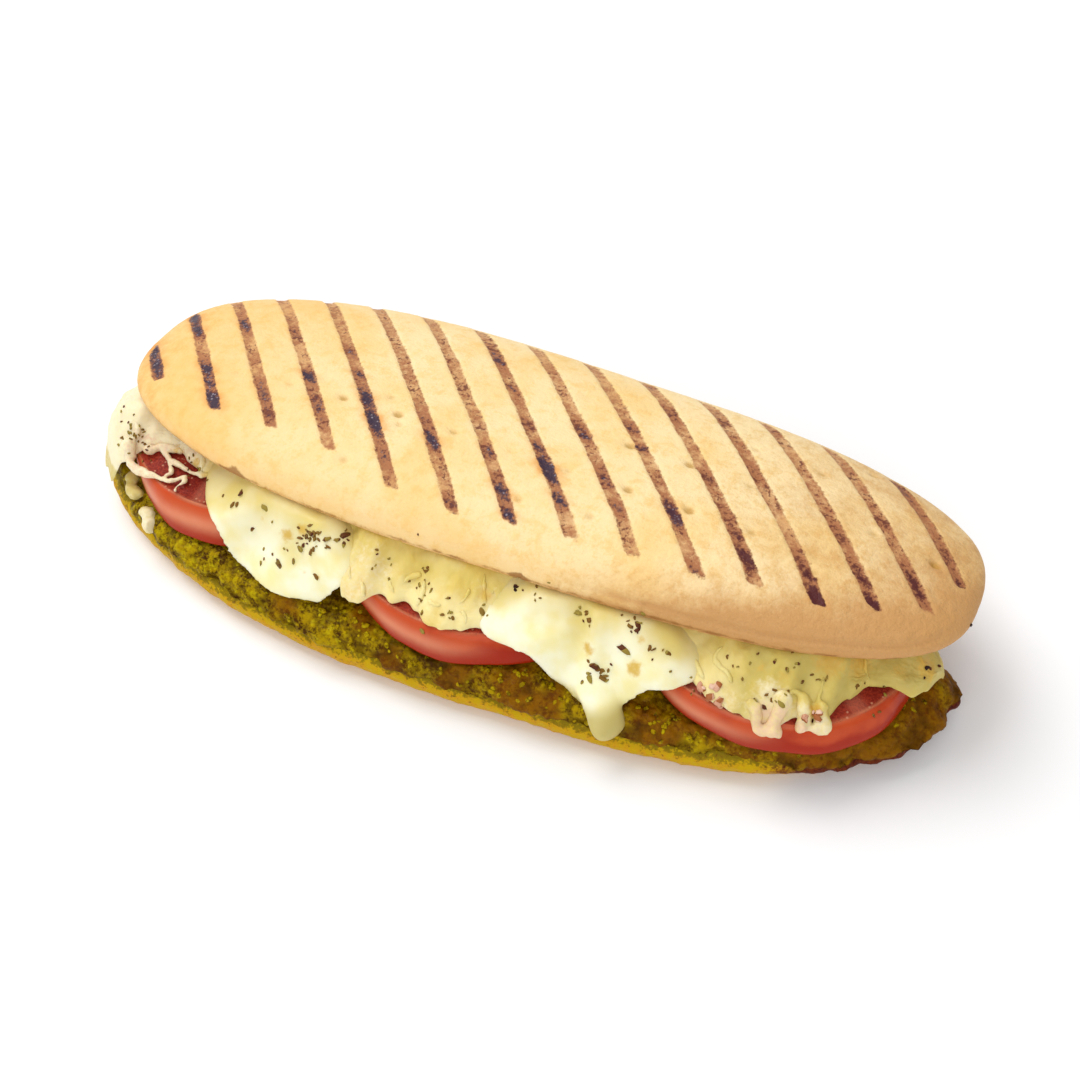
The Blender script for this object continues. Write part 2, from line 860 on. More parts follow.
def normals_of(piece: Piece) -> Array:
    """The piece's point normals."""
    flat = np.empty(3 * len(piece.data.vertices))
    piece.data.vertex_normals.foreach_get("vector", flat)
    return flat.reshape(-1, 3)


def move_points(piece: Piece, points: Array) -> None:
    """Puts the piece's points at new places in the loaf's millimetres."""
    piece.data.vertices.foreach_set("co", to_frame(points).ravel())
    piece.data.update()


def displace(piece: Piece, height: Field) -> None:
    """Moves each point along its normal.

    Args:
        piece: The piece to change.
        height: Gives the move in millimetres for an array of points.
    """
    points = points_of(piece)
    move_points(piece, points + normals_of(piece) * height(points)[:, None])


def keep_values(piece: Piece, **values: Array | float) -> None:
    """Keeps numbers for each point of the piece, for its material to read by name.

    Args:
        piece: The piece.
        values: The numbers by name, or one number for all points.
    """
    for name, numbers in values.items():
        layer = piece.data.attributes.new(name, "FLOAT", "POINT")
        spread = np.broadcast_to(np.clip(numbers, 0.0, 1.0), len(piece.data.vertices))
        layer.data.foreach_set("value", spread.astype(np.float32))


def on_plan(x: Array, y: Array) -> Array:
    """Plan places as an N x 3 array at level zero, for reading noise."""
    return np.stack([x, y, np.zeros_like(x)], axis=-1).reshape(-1, 3)


def ring_faces(rings: int, around: int, first: int = 0) -> Array:
    """The four-cornered faces between closed rings of points.

    Args:
        rings: How many rings there are.
        around: How many points each ring has.
        first: The number of the first ring's first point.

    Returns:
        An array of faces, four corners a row.
    """
    ring, step = np.meshgrid(np.arange(rings - 1), np.arange(around), indexing="ij")
    a = first + ring * around + step
    b = first + ring * around + (step + 1) % around
    return np.stack([a, b, b + around, a + around], axis=-1).reshape(-1, 4)


def closed_skin(rings: Array) -> Skin:
    """A closed skin over rings of points, with a middle point at each end.

    Args:
        rings: An array of rings x points x 3.

    Returns:
        The points and the faces.
    """
    count, around, _ = rings.shape
    ends = np.stack([rings[0].mean(axis=0), rings[-1].mean(axis=0)])
    points = np.concatenate([rings.reshape(-1, 3), ends])
    step = np.arange(around)
    after = (step + 1) % around
    first = np.stack([np.full(around, count * around), after, step], axis=-1)
    base = (count - 1) * around
    last = np.stack([np.full(around, count * around + 1), base + step, base + after], axis=-1)
    return points, [ring_faces(count, around), first, last]


def tube(path: Array, radii: Array, sides: int = 8, flat: float = 1.0) -> Array:
    """Rings of points along a path.

    Args:
        path: An N x 3 array of middle points.
        radii: The radius at each.
        sides: How many points each ring has.
        flat: How flattened and widened each ring is, 1 for round.

    Returns:
        An array of rings x points x 3, wound so that the faces point out.
    """
    along = np.gradient(path, axis=0)
    along /= np.linalg.norm(along, axis=1)[:, None] + 1e-9
    side = np.cross(along, np.array([0.0, 0.0, 1.0]))
    side += np.array([1e-4, 0.0, 0.0])
    side /= np.linalg.norm(side, axis=1)[:, None]
    up = np.cross(side, along) * flat
    side = side / flat
    angle = np.linspace(0.0, 2 * math.pi, sides, endpoint=False)
    ring = np.cos(angle)[None, :, None] * side[:, None] + np.sin(angle)[None, :, None] * up[:, None]
    return path[:, None] + ring * radii[:, None, None]


def closed_curve(outline: Sequence[tuple[float, float]], shares: Array) -> Array:
    """Points on a closed smooth curve through an outline.

    Args:
        outline: The outline's plan points.
        shares: Where to read it, 0 to 1 for one turn.

    Returns:
        An N x 2 array.
    """
    knots = np.array(outline, float)
    count = len(knots)
    place = (shares % 1.0) * count
    k = place.astype(int) % count
    t = (place - np.floor(place))[:, None]
    a, b, c, d = (knots[(k + i) % count] for i in (-1, 0, 1, 2))
    return 0.5 * (2 * b + (c - a) * t + (2 * a - 5 * b + 4 * c - d) * t**2 + (3 * b - a - 3 * c + d) * t**3)


def fuse(piece: Piece, voxel_mm: float, smooth_steps: int) -> None:
    """Melts the overlapping skins of a piece into one.

    Args:
        piece: A piece of closed skins that may overlap.
        voxel_mm: The size of the grid that it is rebuilt on.
        smooth_steps: How often the new skin is smoothed.
    """
    remesh = piece.modifiers.new("melt", "REMESH")
    remesh.mode = "VOXEL"
    remesh.voxel_size = voxel_mm * MM
    smooth = piece.modifiers.new("smooth", "SMOOTH")
    smooth.iterations = smooth_steps
    graph = bpy.context.evaluated_depsgraph_get()
    made = bpy.data.meshes.new_from_object(piece.evaluated_get(graph))
    made.name = piece.name
    piece.modifiers.clear()
    piece.data = made
    made.shade_smooth()


def join_skins(skins: Sequence[Skin]) -> Skin:
    """Puts several skins into one set of points and faces."""
    points, faces, first = [], [], 0
    for skin_points, skin_faces in skins:
        points.append(skin_points)
        faces += [part + first for part in skin_faces]
        first += len(skin_points)
    return np.concatenate(points), faces


@dataclass(frozen=True)
class Camera:
    """The camera that looks at the panini from the front right, above."""

    azimuth: float = math.radians(24.21)
    elevation: float = math.radians(47.996)
    distance: float = 464.2
    aside: float = 8.738
    above: float = 12.281
    focal_px: float = 1633.4
    sensor_mm: float = 36.0

    def axes(self) -> tuple[Array, Array, Array]:
        """The directions to the right, up and back of the camera."""
        cos, sin = math.cos(self.azimuth), math.sin(self.azimuth)
        level, high = math.cos(self.elevation), math.sin(self.elevation)
        back = np.array([sin * level, -cos * level, high])
        right = np.array([cos, sin, 0.0])
        return right, np.cross(back, right), back

    def position(self) -> Array:
        """Where the camera stands, in the loaf's millimetres."""
        right, above, back = self.axes()
        return right * self.aside + above * self.above + back * self.distance

    def ray(self, across: float, down: float) -> Array:
        """The direction in which a pixel of the square picture looks."""
        right, above, back = self.axes()
        half = PHOTO_SIZE / 2
        ray = right * (across - half) / self.focal_px - above * (down - half) / self.focal_px - back
        return ray / np.linalg.norm(ray)

    def build(self) -> None:
        """Makes the camera and gives it to the scene."""
        lens = bpy.data.cameras.new("camera")
        lens.sensor_width = self.sensor_mm
        lens.lens = self.focal_px * self.sensor_mm / PHOTO_SIZE
        lens.clip_start = 0.01
        made = bpy.data.objects.new("camera", lens)
        right, above, back = self.axes()
        turn = Matrix((right, above, back)).transposed().to_4x4()
        made.matrix_world = Matrix.Translation(Vector(to_frame(self.position()))) @ turn
        bpy.context.scene.collection.objects.link(made)
        bpy.context.scene.camera = made


@dataclass(frozen=True)
class Studio:
    """A plain pale floor and soft light from the back left, with a fill from the front."""

    floor_half_mm: float = 2500.0
    key_place: tuple[float, float, float] = (-950.0, 330.0, 1500.0)
    key_size_mm: float = 1250.0
    key_watts: float = 20.6
    fill_place: tuple[float, float, float] = (300.0, -1300.0, 950.0)
    fill_size_mm: float = 1300.0
    fill_watts: float = 9.0
    sky: float = 0.53

    def _lamp(self, name: str, place: tuple[float, float, float], size_mm: float, watts: float) -> None:
        """Adds one soft lamp that faces the panini."""
        light = bpy.data.lights.new(name, "AREA")
        light.size = size_mm * MM
        light.energy = watts
        made = bpy.data.objects.new(name, light)
        spot = Vector(to_frame(np.array(place)))
        aim = Vector(to_frame(np.array([0.0, 0.0, 20.0])))
        made.location = spot
        made.rotation_euler = (aim - spot).to_track_quat("-Z", "Y").to_euler()
        bpy.context.scene.collection.objects.link(made)

    def build(self) -> None:
        """Makes the floor, the lamps and the sky."""
        half = self.floor_half_mm
        corners = np.array([[-half, -half, 0.0], [half, -half, 0.0], [half, half, 0.0], [-half, half, 0.0]])
        floor = add_mesh("floor", corners, [np.array([[0, 1, 2, 3]])], FloorFinish().build())
        self._lamp("key", self.key_place, self.key_size_mm, self.key_watts)
        self._lamp("fill", self.fill_place, self.fill_size_mm, self.fill_watts)
        world = bpy.data.worlds.new("sky")
        world.use_nodes = True
        world.node_tree.nodes["Background"].inputs["Color"].default_value = (1.0, 1.0, 1.0, 1.0)
        world.node_tree.nodes["Background"].inputs["Strength"].default_value = self.sky
        bpy.context.scene.world = world
        bpy.context.scene.view_settings.view_transform = "Standard"


def sphere_cut(points: Array, centre: Sequence[float], reach: float) -> Array:
    """A soft spot: 1 at the centre and falling away over the reach."""
    distance = np.linalg.norm(points - np.asarray(centre), axis=1)
    return np.exp(-((distance / reach) ** 2))


@dataclass
class UpperBread:
    """The upper half: a smooth tilted dome with pressed, charred grill marks."""

    mark_count: int = 15
    mark_first: float = -126.3
    mark_pitch: float = 17.3
    mark_width: float = 4.4
    mark_slant: float = 0.835
    mark_depth: float = 0.55
    mark_fade: tuple[float, float] = (0.955, 0.985)
    mark_front: tuple = (
        -22, -29, -30.5, -32.5, -37, -37.5, -36, -35, -33.5, -32.5, -29.5, -28, -22.5, -15.5, -2,
    )
    mark_back: tuple = (12, 26, 34, 37, 38, 38, 38, 38, 38, 38, 37, 36, 35, 33, 30)
    mark_end_soft: float = 1.1
    station_mm: float = 0.72
    over: int = 150
    underside: int = 18
    crease_height: float = 5.6
    dimple_depth: float = 1.1
    dimple_reach: float = 1.6
    # Small cracks across the front rim: their x and how high up the rim each one runs.
    cracks: tuple = ((13.6, 6.5), (23.8, 6.0), (46.3, 7.5), (-20.0, 4.5), (61.0, 5.5), (-62.0, 4.5))
    # Rows of small dimples between the marks: the y of the row, its first x, its step and its count.
    dimple_rows: tuple = ((-15.3, -86.0, 16.75, 11), (0.6, 25.3, 16.85, 6), (16.0, 6.0, 49.5, 2))
    # Single dimples: their x and y.
    dimples: tuple = (
        (-41.9, -34.2), (-40.8, -9.2), (-33.8, -18.5), (6.6, -29.7), (25.8, -27.8), (54.1, 12.6), (59.8, 6.0),
        (83.1, -19.8), (74.2, 16.1), (86.0, 26.3),
    )
    # Browned flaps on the front rim: their x and height, and their reach.
    rim_flaps: tuple = (((13.0, 1.6), 2.2), ((-72.0, 2.4), 2.8))
    # Where the grill charred the crust: the mark, the y along it, the reach and the strength.
    char_spots: tuple = (
        (0, 6.0, 9.0, 1.0), (0, -8.0, 8.0, 1.0), (0, -16.0, 7.0, 0.9),
        (1, 9.0, 6.0, 1.0), (1, 2.0, 5.0, 0.9), (1, -16.0, 3.6, 1.0), (1, -21.0, 3.0, 0.8),
        (1, -26.5, 4.2, 1.1), (2, 7.0, 4.5, 0.75), (2, -20.0, 6.0, 0.62), (2, -27.0, 4.0, 0.5),
        (3, -10.0, 2.6, 1.0), (3, 7.5, 3.0, 0.5), (3, -20.0, 6.0, 0.6),
        (4, 5.0, 2.6, 0.6), (4, -3.5, 2.2, 0.7), (4, -12.0, 5.5, 0.95), (4, -20.0, 5.0, 1.1),
        (4, -30.0, 5.0, 0.5), (5, -20.0, 3.4, 0.95), (5, -14.0, 3.0, 0.5), (5, -36.0, 2.4, 0.5),
        (6, -17.5, 2.6, 0.65), (6, -28.5, 3.4, 0.85), (6, -34.0, 2.4, 0.8),
        (7, 21.0, 5.5, 0.62), (7, 9.5, 2.0, 0.6), (7, -3.0, 2.6, 0.5), (7, -11.0, 3.0, 0.7),
        (7, -17.5, 4.6, 1.2), (7, -25.5, 2.4, 0.85), (8, 0.0, 3.6, 0.7), (8, -14.5, 3.4, 0.6),
        (8, -22.0, 2.4, 0.6),
        (9, 8.0, 3.0, 0.6), (9, 1.5, 1.8, 0.75), (9, -18.5, 5.0, 0.95), (9, -32.0, 2.2, 0.5),
        (10, 20.5, 4.0, 0.5), (10, -1.5, 2.2, 0.7), (10, -11.0, 4.0, 0.45), (10, -17.5, 2.2, 0.7),
        (10, -23.5, 3.2, 1.0), (11, 8.0, 3.6, 0.5), (11, -21.0, 3.6, 0.8), (11, -26.5, 3.8, 1.25),
        (12, -4.0, 4.0, 0.5), (12, -15.0, 4.2, 0.75), (12, -21.5, 2.8, 1.2),
        (13, 6.0, 3.0, 0.45), (13, -10.0, 5.0, 0.85), (14, 24.0, 8.0, 0.55), (14, 6.0, 5.0, 0.55),
        (14, -1.0, 2.6, 0.75),
    )
    # How finely the slanted lines are searched for where they meet the rim.
    line_samples: int = 400
    start_samples: int = 5601
    start_reach: float = 1.4
    on_rim: float = 0.9998
    valley_steps: int = 60
    rim_steps: int = 45
    bunching: float = 0.25
    end_inset: float = 0.02
    noise: SmoothNoise = field(default_factory=lambda: SmoothNoise(11))

    def _radius_on(self, starts: Array, y: Array) -> Array:
        """The plan radius at y on the slanted lines that start at y = 0."""
        return LOAF.upper_radius(starts - self.mark_slant * y, y)

    def _line_ends(self) -> tuple[float, float]:
        """The starts of the first and the last slanted line that meet the upper half."""
        y = np.linspace(-1.0, 1.0, self.line_samples)[None] * LOAF.upper_half_width
        starts = np.linspace(-self.start_reach, self.start_reach, self.start_samples) * LOAF.upper_half_length
        inside = starts[self._radius_on(starts[:, None], y).min(axis=1) < self.on_rim]
        return float(inside[0]), float(inside[-1])

    def _chords(self, starts: Array) -> tuple[Array, Array]:
        """The front and back y of each slanted line on the rim."""
        low = np.full(len(starts), -LOAF.upper_half_width)
        high = -low
        for _ in range(self.valley_steps):
            third = (high - low) / 3
            first, second = low + third, high - third
            nearer = self._radius_on(starts, first) < self._radius_on(starts, second)
            high = np.where(nearer, second, high)
            low = np.where(nearer, low, first)
        deepest = (low + high) / 2
        ends = []
        for sign in (-1.0, 1.0):
            inner, outer = deepest.copy(), np.full(len(starts), sign * 1.05 * LOAF.upper_half_width)
            for _ in range(self.rim_steps):
                middle = (inner + outer) / 2
                within = self._radius_on(starts, middle) < 1.0
                inner = np.where(within, middle, inner)
                outer = np.where(within, outer, middle)
            ends.append(inner)
        return ends[0], ends[1]

    def mark_share(self, x: Array, y: Array) -> tuple[Array, Array]:
        """How far a point lies inside a grill mark, and the number of the nearest mark.

        Args:
            x: Places along the bread, in the half's own frame.
            y: Places across it.

        Returns:
            A share that is 1 inside a mark and 0 outside it, and the mark's number.
        """
        points = on_plan(x, y)
        wander = self.noise.waves(points, (0.35, 16.0), (0.28, 2.6))
        start = x + self.mark_slant * y + wander
        number = np.clip(np.round((start - self.mark_first) / self.mark_pitch), 0, self.mark_count - 1)
        away = np.abs(start - self.mark_first - number * self.mark_pitch)
        narrow = 0.5 * self.mark_width * (0.94 + 0.16 * self.noise.at(points + 50.0, 8.0))
        pressed = 1.0 - smooth_step(*self.mark_fade, LOAF.upper_radius(x, y))
        mark = number.astype(int)
        ragged = y + 1.1 * self.noise.at(points, 3.0)
        front, back = np.array(self.mark_front, float)[mark], np.array(self.mark_back, float)[mark]
        pressed *= smooth_step(-self.mark_end_soft, self.mark_end_soft, ragged - front)
        pressed *= smooth_step(-2.0 * self.mark_end_soft, 2.0 * self.mark_end_soft, back - ragged)
        return (1.0 - smooth_step(-0.7, 0.7, away - narrow)) * pressed, mark

    def _char(self, x: Array, y: Array, number: Array, loose: float) -> Array:
        """How charred the crust is, from the spots, with their reach made looser across the mark."""
        total = np.zeros_like(x)
        start = x + self.mark_slant * y
        for mark, spot_y, reach, strength in self.char_spots:
            centre = self.mark_first + self.mark_pitch * mark
            along = (y - spot_y) / reach
            across = (start - centre) / (loose * self.mark_width)
            near = strength * np.exp(-(along**2) - across**2)
            total = np.maximum(total, np.where(np.abs(number - mark) < 0.5, near, 0.0))
        return total

    def build(self, finish: Material) -> Piece:
        """Makes the upper half.

        Args:
            finish: The crust's material.

        Returns:
            The piece.
        """
        left, right = self._line_ends()
        count = int((right - left) / self.station_mm)
        turn = np.linspace(0.0, math.pi, count)
        even = np.linspace(left, right, count)
        bunched = (left + right) / 2 - (right - left) / 2 * np.cos(turn)
        starts = (1.0 - self.bunching) * even + self.bunching * bunched
        starts[0] += self.end_inset
        starts[-1] -= self.end_inset
        front, back = self._chords(starts)
        over = -np.cos(np.linspace(0.0, math.pi, self.over))
        edge = 1.0 - np.linspace(0.0, 1.0, 9)[1:] ** 2 * 0.07
        inner = np.linspace(edge[-1], -edge[-1], self.underside + 2)[1:-1]
        under = np.concatenate([edge, inner, -edge[::-1]])
        across = np.concatenate([over, under])
        is_over = np.arange(len(across)) < len(over)
        y = (front + back)[:, None] / 2 + across[None] * (back - front)[:, None] / 2
        x = starts[:, None] - self.mark_slant * y
        radius = np.minimum(1.0, LOAF.upper_radius(x, y))
        rise = LOAF.upper_height - LOAF.upper_widest_height
        dome = LOAF.upper_widest_height + rise * np.sqrt(np.maximum(0.0, 1 - radius**LOAF.upper_dome_power))
        belly = LOAF.upper_widest_height * (1.0 - quarter_round((1.0 - radius) / 0.05))
        z = np.where(is_over[None], dome, belly)
        local = np.stack([x, y, z], axis=-1)
        skin, faces = closed_skin(local[:, ::-1])
        piece = add_mesh("upper_crust", LOAF.upper_to_loaf(skin), faces, finish)
        displace(piece, self._relief)
        self._dress(piece)
        return piece

    def _dimples(self, x: Array, y: Array) -> Array:
        """How deep in a dimple each place lies.

        Args:
            x: Places along the bread, in the half's own frame.
            y: Places across it.

        Returns:
            A share that is about 1 in the middle of a dimple.
        """
        depth = np.zeros_like(x)
        for row_y, first_x, step, number in self.dimple_rows:
            for k in range(number):
                away = np.hypot(x - first_x - step * k, 1.25 * (y - row_y - 0.5 * math.sin(7.0 * k)))
                strength = 0.75 + 0.4 * math.cos(5.0 * k + row_y)
                depth += strength * np.exp(-((away / self.dimple_reach) ** 2))
        for dimple_x, dimple_y in self.dimples:
            away = np.hypot(x - dimple_x, 1.25 * (y - dimple_y))
            depth += 0.6 * np.exp(-((away / self.dimple_reach) ** 2))
        return depth

    def _relief(self, points: Array) -> Array:
        """The crust's relief: marks, dimples, slow waves, fine wrinkles and the crease by the rim."""
        local = LOAF.loaf_to_upper(points)
        x, y, z = local.T
        mark, _ = self.mark_share(x, y)
        top = smooth_step(5.0, 9.0, z)
        height = -self.mark_depth * mark * top
        height += self.noise.waves(points, (0.35, 34.0), (0.12, 11.0))
        height += 0.035 * self.noise.layered(points, 2.4, 2) + 0.10 * mark * self.noise.at(points, 1.5)
        height -= self.dimple_depth * self._dimples(x, y) * (z > 5.0)
        for crack_x, top in self.cracks:
            along = x - crack_x - 0.25 * (z - 3.0) + 0.3 * self.noise.at(points, 2.0)
            height -= 0.45 * np.exp(-((along / 0.35) ** 2)) * smooth_step(top, top - 2.0, z) * (y < 0.0)
        front_right = smooth_step(10.0, 60.0, x) * smooth_step(8.0, -8.0, y)
        front_right = front_right * (1.0 - smooth_step(114.0, 121.0, x))
        level = self.crease_height + 0.8 * self.noise.at(points, 22.0)
        crease = np.exp(-(((z - level) / 0.75) ** 2)) * front_right
        height -= 0.6 * crease
        slope = np.exp(-(((z - 10.0) / 4.0) ** 2)) * front_right
        height += 0.16 * slope * self.noise.at(points, (4.5, 4.5, 1.1))
        return height

    def _dress(self, piece: Piece) -> None:
        """Keeps where the crust is marked, charred, haloed, toasted and browned at its rim."""
        points = points_of(piece)
        x, y, z = LOAF.loaf_to_upper(points).T
        mark, number = self.mark_share(x, y)
        upper = smooth_step(4.0, 6.0, z)
        blue = smooth_step(50.0, 10.0, x + self.mark_slant * y)
        slope = smooth_step(15.5, 5.0, z)
        right_front = smooth_step(0.0, 90.0, x) * smooth_step(25.0, -25.0, y)
        left_end = smooth_step(-85.0, -122.0, x)
        rim = smooth_step(4.6, 1.0, z)
        back = smooth_step(20.0, 43.0, y) * smooth_step(14.0, 4.0, z)
        patchy = 0.5 + 0.5 * self.noise.at(points, 9.0)
        toast = 0.9 * slope * right_front + 0.35 * left_end * slope + 0.5 * rim + 0.35 * back * patchy
        toast += 0.55 * smooth_step(10.0, 105.0, x) * (0.6 + 0.6 * patchy)
        line = np.exp(-(((z - self.crease_height + 0.5) / 0.7) ** 2)) * smooth_step(15.0, 60.0, x) * (y < 5.0)
        thin = np.exp(-(((z - 1.9) / 1.1) ** 2)) * (y < 10.0) * (0.75 + 0.5 * self.noise.at(points, 7.0))
        upright = np.stack([x, z], axis=1)
        flaps = sum(sphere_cut(upright, centre, reach) for centre, reach in self.rim_flaps)
        keep_values(
            piece,
            mark=mark * upper,
            char=self._char(x, y, number, 0.62) * upper,
            blue=blue,
            halo=self._char(x, y, number, 1.1) * upper * (0.25 + 0.55 * blue),
            toast=toast + 0.4 * line,
            pit=self._dimples(x, y) * (z > 5.0),
            warm=0.9 * smooth_step(-40.0, -112.0, x) + 0.35 * smooth_step(30.0, 0.0, y) * slope,
            edge=0.75 * thin + flaps * (y < 0.0),
        )


@dataclass
class LowerBread:
    """The lower half, flat on its base, with a thin oily crust edge and a browned right end."""

    rings: int = 420
    over: int = 64
    underside: int = 60
    mark_pitch: float = 17.3
    mark_width: float = 4.6
    noise: SmoothNoise = field(default_factory=lambda: SmoothNoise(23))

    def build(self, finish: Material) -> Piece:
        """Makes the lower half.

        Args:
            finish: The lower crust's material.

        Returns:
            The piece.
        """
        turn = np.linspace(0.0, math.pi, self.rings + 2)[1:-1]
        x = LOAF.lower_centre_x - LOAF.lower_half_length * np.cos(turn)
        over = -np.cos(np.linspace(0.0, math.pi, self.over))
        under = np.cos(np.linspace(0.0, math.pi, self.underside + 2))[1:-1]
        across = np.concatenate([over, under])
        is_over = np.arange(len(across)) < len(over)
        y = across[None] * LOAF.lower_width_at(x)[:, None]
        x = np.broadcast_to(x[:, None], y.shape)
        radius = np.minimum(1.0, LOAF.lower_radius(x, y))
        widest = LOAF.lower_widest_height
        top = widest + (LOAF.cut_height(x, y) - widest) * quarter_round((1.0 - radius) / 0.03)
        fillet = np.clip((radius - LOAF.lower_base_share) / (1.0 - LOAF.lower_base_share), 0.0, 1.0)
        low = widest * (1.0 - np.sqrt(1.0 - fillet**2))
        rings = np.stack([x, y, np.where(is_over[None], top, low)], axis=-1)
        skin, faces = closed_skin(rings[:, ::-1])
        piece = add_mesh("lower_crust", LOAF.with_lobe(skin), faces, finish)
        displace(piece, self._relief)
        self._dress(piece)
        return piece

    def _browned(self, points: Array) -> Array:
        """How browned the rim is: most at its right end, and in patches along the front."""
        x, y, _ = points.T
        end = smooth_step(78.0, 104.0, x) * smooth_step(34.0, 12.0, y)
        tip = smooth_step(-118.0, -129.0, x)
        return end + 0.5 * tip + 0.4 * smooth_step(0.25, 0.7, self.noise.at(points, 15.0))

    def _relief(self, points: Array) -> Array:
        """The rim's relief: slow waves, a ragged right end and a nearly flat base."""
        side = smooth_step(0.3, 2.5, points[:, 2])
        ragged = smooth_step(85.0, 110.0, points[:, 0]) * smooth_step(20.0, 5.0, points[:, 1])
        height = 0.45 * self.noise.at(points, 17.0) + 0.3 * self.noise.layered(points, 4.0, 3)
        height += ragged * (0.9 * self.noise.at(points, (4.0, 4.0, 9.0)) + 0.35 * self.noise.at(points, 1.6))
        return height * side

    def _dress(self, piece: Piece) -> None:
        """Keeps where the crust is browned, where it is the base, and the marks under it."""
        points = points_of(piece)
        x, y, z = points.T
        start = x - 0.8 * y + 0.4 * self.noise.at(points, 8.0)
        away = np.abs((start / self.mark_pitch) - np.round(start / self.mark_pitch)) * self.mark_pitch
        keep_values(
            piece,
            brown=self._browned(points) * smooth_step(0.5, 2.5, z),
            under=smooth_step(3.4, 0.6, z),
            stain=smooth_step(5.0, 8.5, z),
            mark=(1.0 - smooth_step(-0.5, 0.5, away - self.mark_width / 2)) * smooth_step(1.2, 0.4, z),
        )


@dataclass
class Pesto:
    """The coarse pesto layer, with loose bits along its open edge."""

    segments: int = 1050
    rim_rings: int = 52
    inner_rings: int = 8
    under_rings: int = 4
    rim_share: float = 0.26
    bit_count: int = 420
    noise: SmoothNoise = field(default_factory=lambda: SmoothNoise(37))

    def _directions(self) -> Array:
        """Turns round the plan, spaced evenly along the rim."""
        fine = np.linspace(0.0, 2 * math.pi, 6001)
        x, y = LOAF.lower_half_length * np.cos(fine), LOAF.lower_half_width * np.sin(fine)
        length = np.concatenate([[0.0], np.cumsum(np.hypot(np.diff(x), np.diff(y)))])
        even = np.linspace(0.0, length[-1], self.segments, endpoint=False)
        return np.interp(even, length, fine)

    def _plan(self, turn: Array, share: Array) -> tuple[Array, Array]:
        """The plan place at a turn and a share of the way out."""
        along = LOAF.lower_half_length * np.cos(turn)
        width = LOAF.lower_width_at(LOAF.lower_centre_x + along)
        uneven = self.noise.waves(on_plan(along, 30.0 * np.sin(turn)), (1.0, 9.0), (0.6, 3.5))
        reach = share * (0.992 + 0.016 * uneven.reshape(along.shape))
        return LOAF.lower_centre_x + reach * along, reach * width * np.sign(np.sin(turn))

    def build(self, finish: Material) -> Piece:
        """Makes the layer.

        Args:
            finish: The pesto's material.

        Returns:
            The piece.
        """
        turn = self._directions()
        rim = 1.0 - self.rim_share * np.linspace(0.0, 1.0, self.rim_rings) ** 1.35
        inner = np.linspace(1.0 - self.rim_share, 0.02, self.inner_rings + 1)[1:]
        under = np.linspace(0.02, 0.99, self.under_rings)
        shares = np.concatenate([under, rim, inner])
        is_over = np.arange(len(shares)) >= len(under)
        turns, outs = np.meshgrid(turn, shares)
        x, y = self._plan(turns, outs)
        spill = smooth_step(84.0, 102.0, x) * smooth_step(30.0, 12.0, y)
        x, y = x + (x - LOAF.lower_centre_x) * 0.02 * spill * outs, y * (1.0 + 0.02 * spill * outs)
        floor = LOAF.pesto_floor(x, y) - 0.25 - 0.5 * spill * smooth_step(0.95, 1.0, outs)
        edge = quarter_round((1.0 - outs) / 0.07)
        top = floor + 0.4 + (LOAF.pesto_thickness - 0.1) * edge
        rings = np.stack([x, y, np.where(is_over[:, None], top, floor)], axis=-1)
        skin, faces = closed_skin(rings)
        piece = add_mesh("pesto_layer", LOAF.with_lobe(skin), faces, finish)
        displace(piece, self._relief)
        self._dress(piece)
        return piece

    def _relief(self, points: Array) -> Array:
        """Coarse lumps, chopped bits and fine grains."""
        open_rim = smooth_step(0.70, 0.86, LOAF.lower_radius(points[:, 0], points[:, 1]))
        lumps = self.noise.waves(points, (0.95, 6.5), (0.55, 3.2))
        away, number = self.noise.cells(points, 1.9)
        bits = (0.2 + 0.9 * number) * np.maximum(0.0, 0.85 - away)
        small, _ = self.noise.cells(points + 9.0, 1.1)
        grains = 0.3 * np.maximum(0.0, 0.7 - small)
        return (lumps + bits + grains - 0.4) * (0.35 + 0.65 * open_rim)

    def _dress(self, piece: Piece) -> None:
        """Keeps where the pesto is pitted and browned."""
        points = points_of(piece)
        x, y, _ = points.T
        away, _ = self.noise.cells(points, 1.9)
        hollow = smooth_step(0.1, -0.7, self.noise.waves(points, (1.0, 6.5), (0.6, 3.2)))
        shaded = sphere_cut(points[:, :2], (-5.0, -48.0), 13.0)
        end = smooth_step(78.0, 112.0, x) * smooth_step(30.0, 8.0, y)
        patches = 0.8 * smooth_step(-0.25, 0.6, self.noise.at(points + 20.0, 9.0))
        brown = 0.35 * end + patches * smooth_step(-95.0, -20.0, x) + 0.3 * smooth_step(-60.0, 0.0, x)
        pit = smooth_step(0.5, 0.95, away) * 0.5 + 0.7 * hollow + 0.4 * shaded
        keep_values(piece, pit=pit, brown=brown)

    def build_bits(self, layer: Piece, finish: Material) -> Piece:
        """Makes loose chopped bits half sunk in the open rim of the layer.

        Args:
            layer: The pesto layer.
            finish: The bits' material.

        Returns:
            The piece.
        """
        draw = np.random.default_rng(41)
        points = points_of(layer)
        normals = normals_of(layer)
        radius = LOAF.lower_radius(points[:, 0], points[:, 1])
        open_rim = np.flatnonzero((radius > 0.80) & (radius < 0.985) & (normals[:, 2] > 0.1))
        front = points[open_rim, 1] < 12.0
        weight = np.where(front, 1.0, 0.25)
        chosen = draw.choice(open_rim, self.bit_count, replace=False, p=weight / weight.sum())
        skins = [lump(points[k], normals[k], draw, (0.3, 0.8), 0.5) for k in chosen]
        skin, faces = join_skins(skins)
        piece = add_mesh("pesto_bits", skin, faces, finish)
        keep_values(piece, pit=0.0, brown=0.0)
        return piece


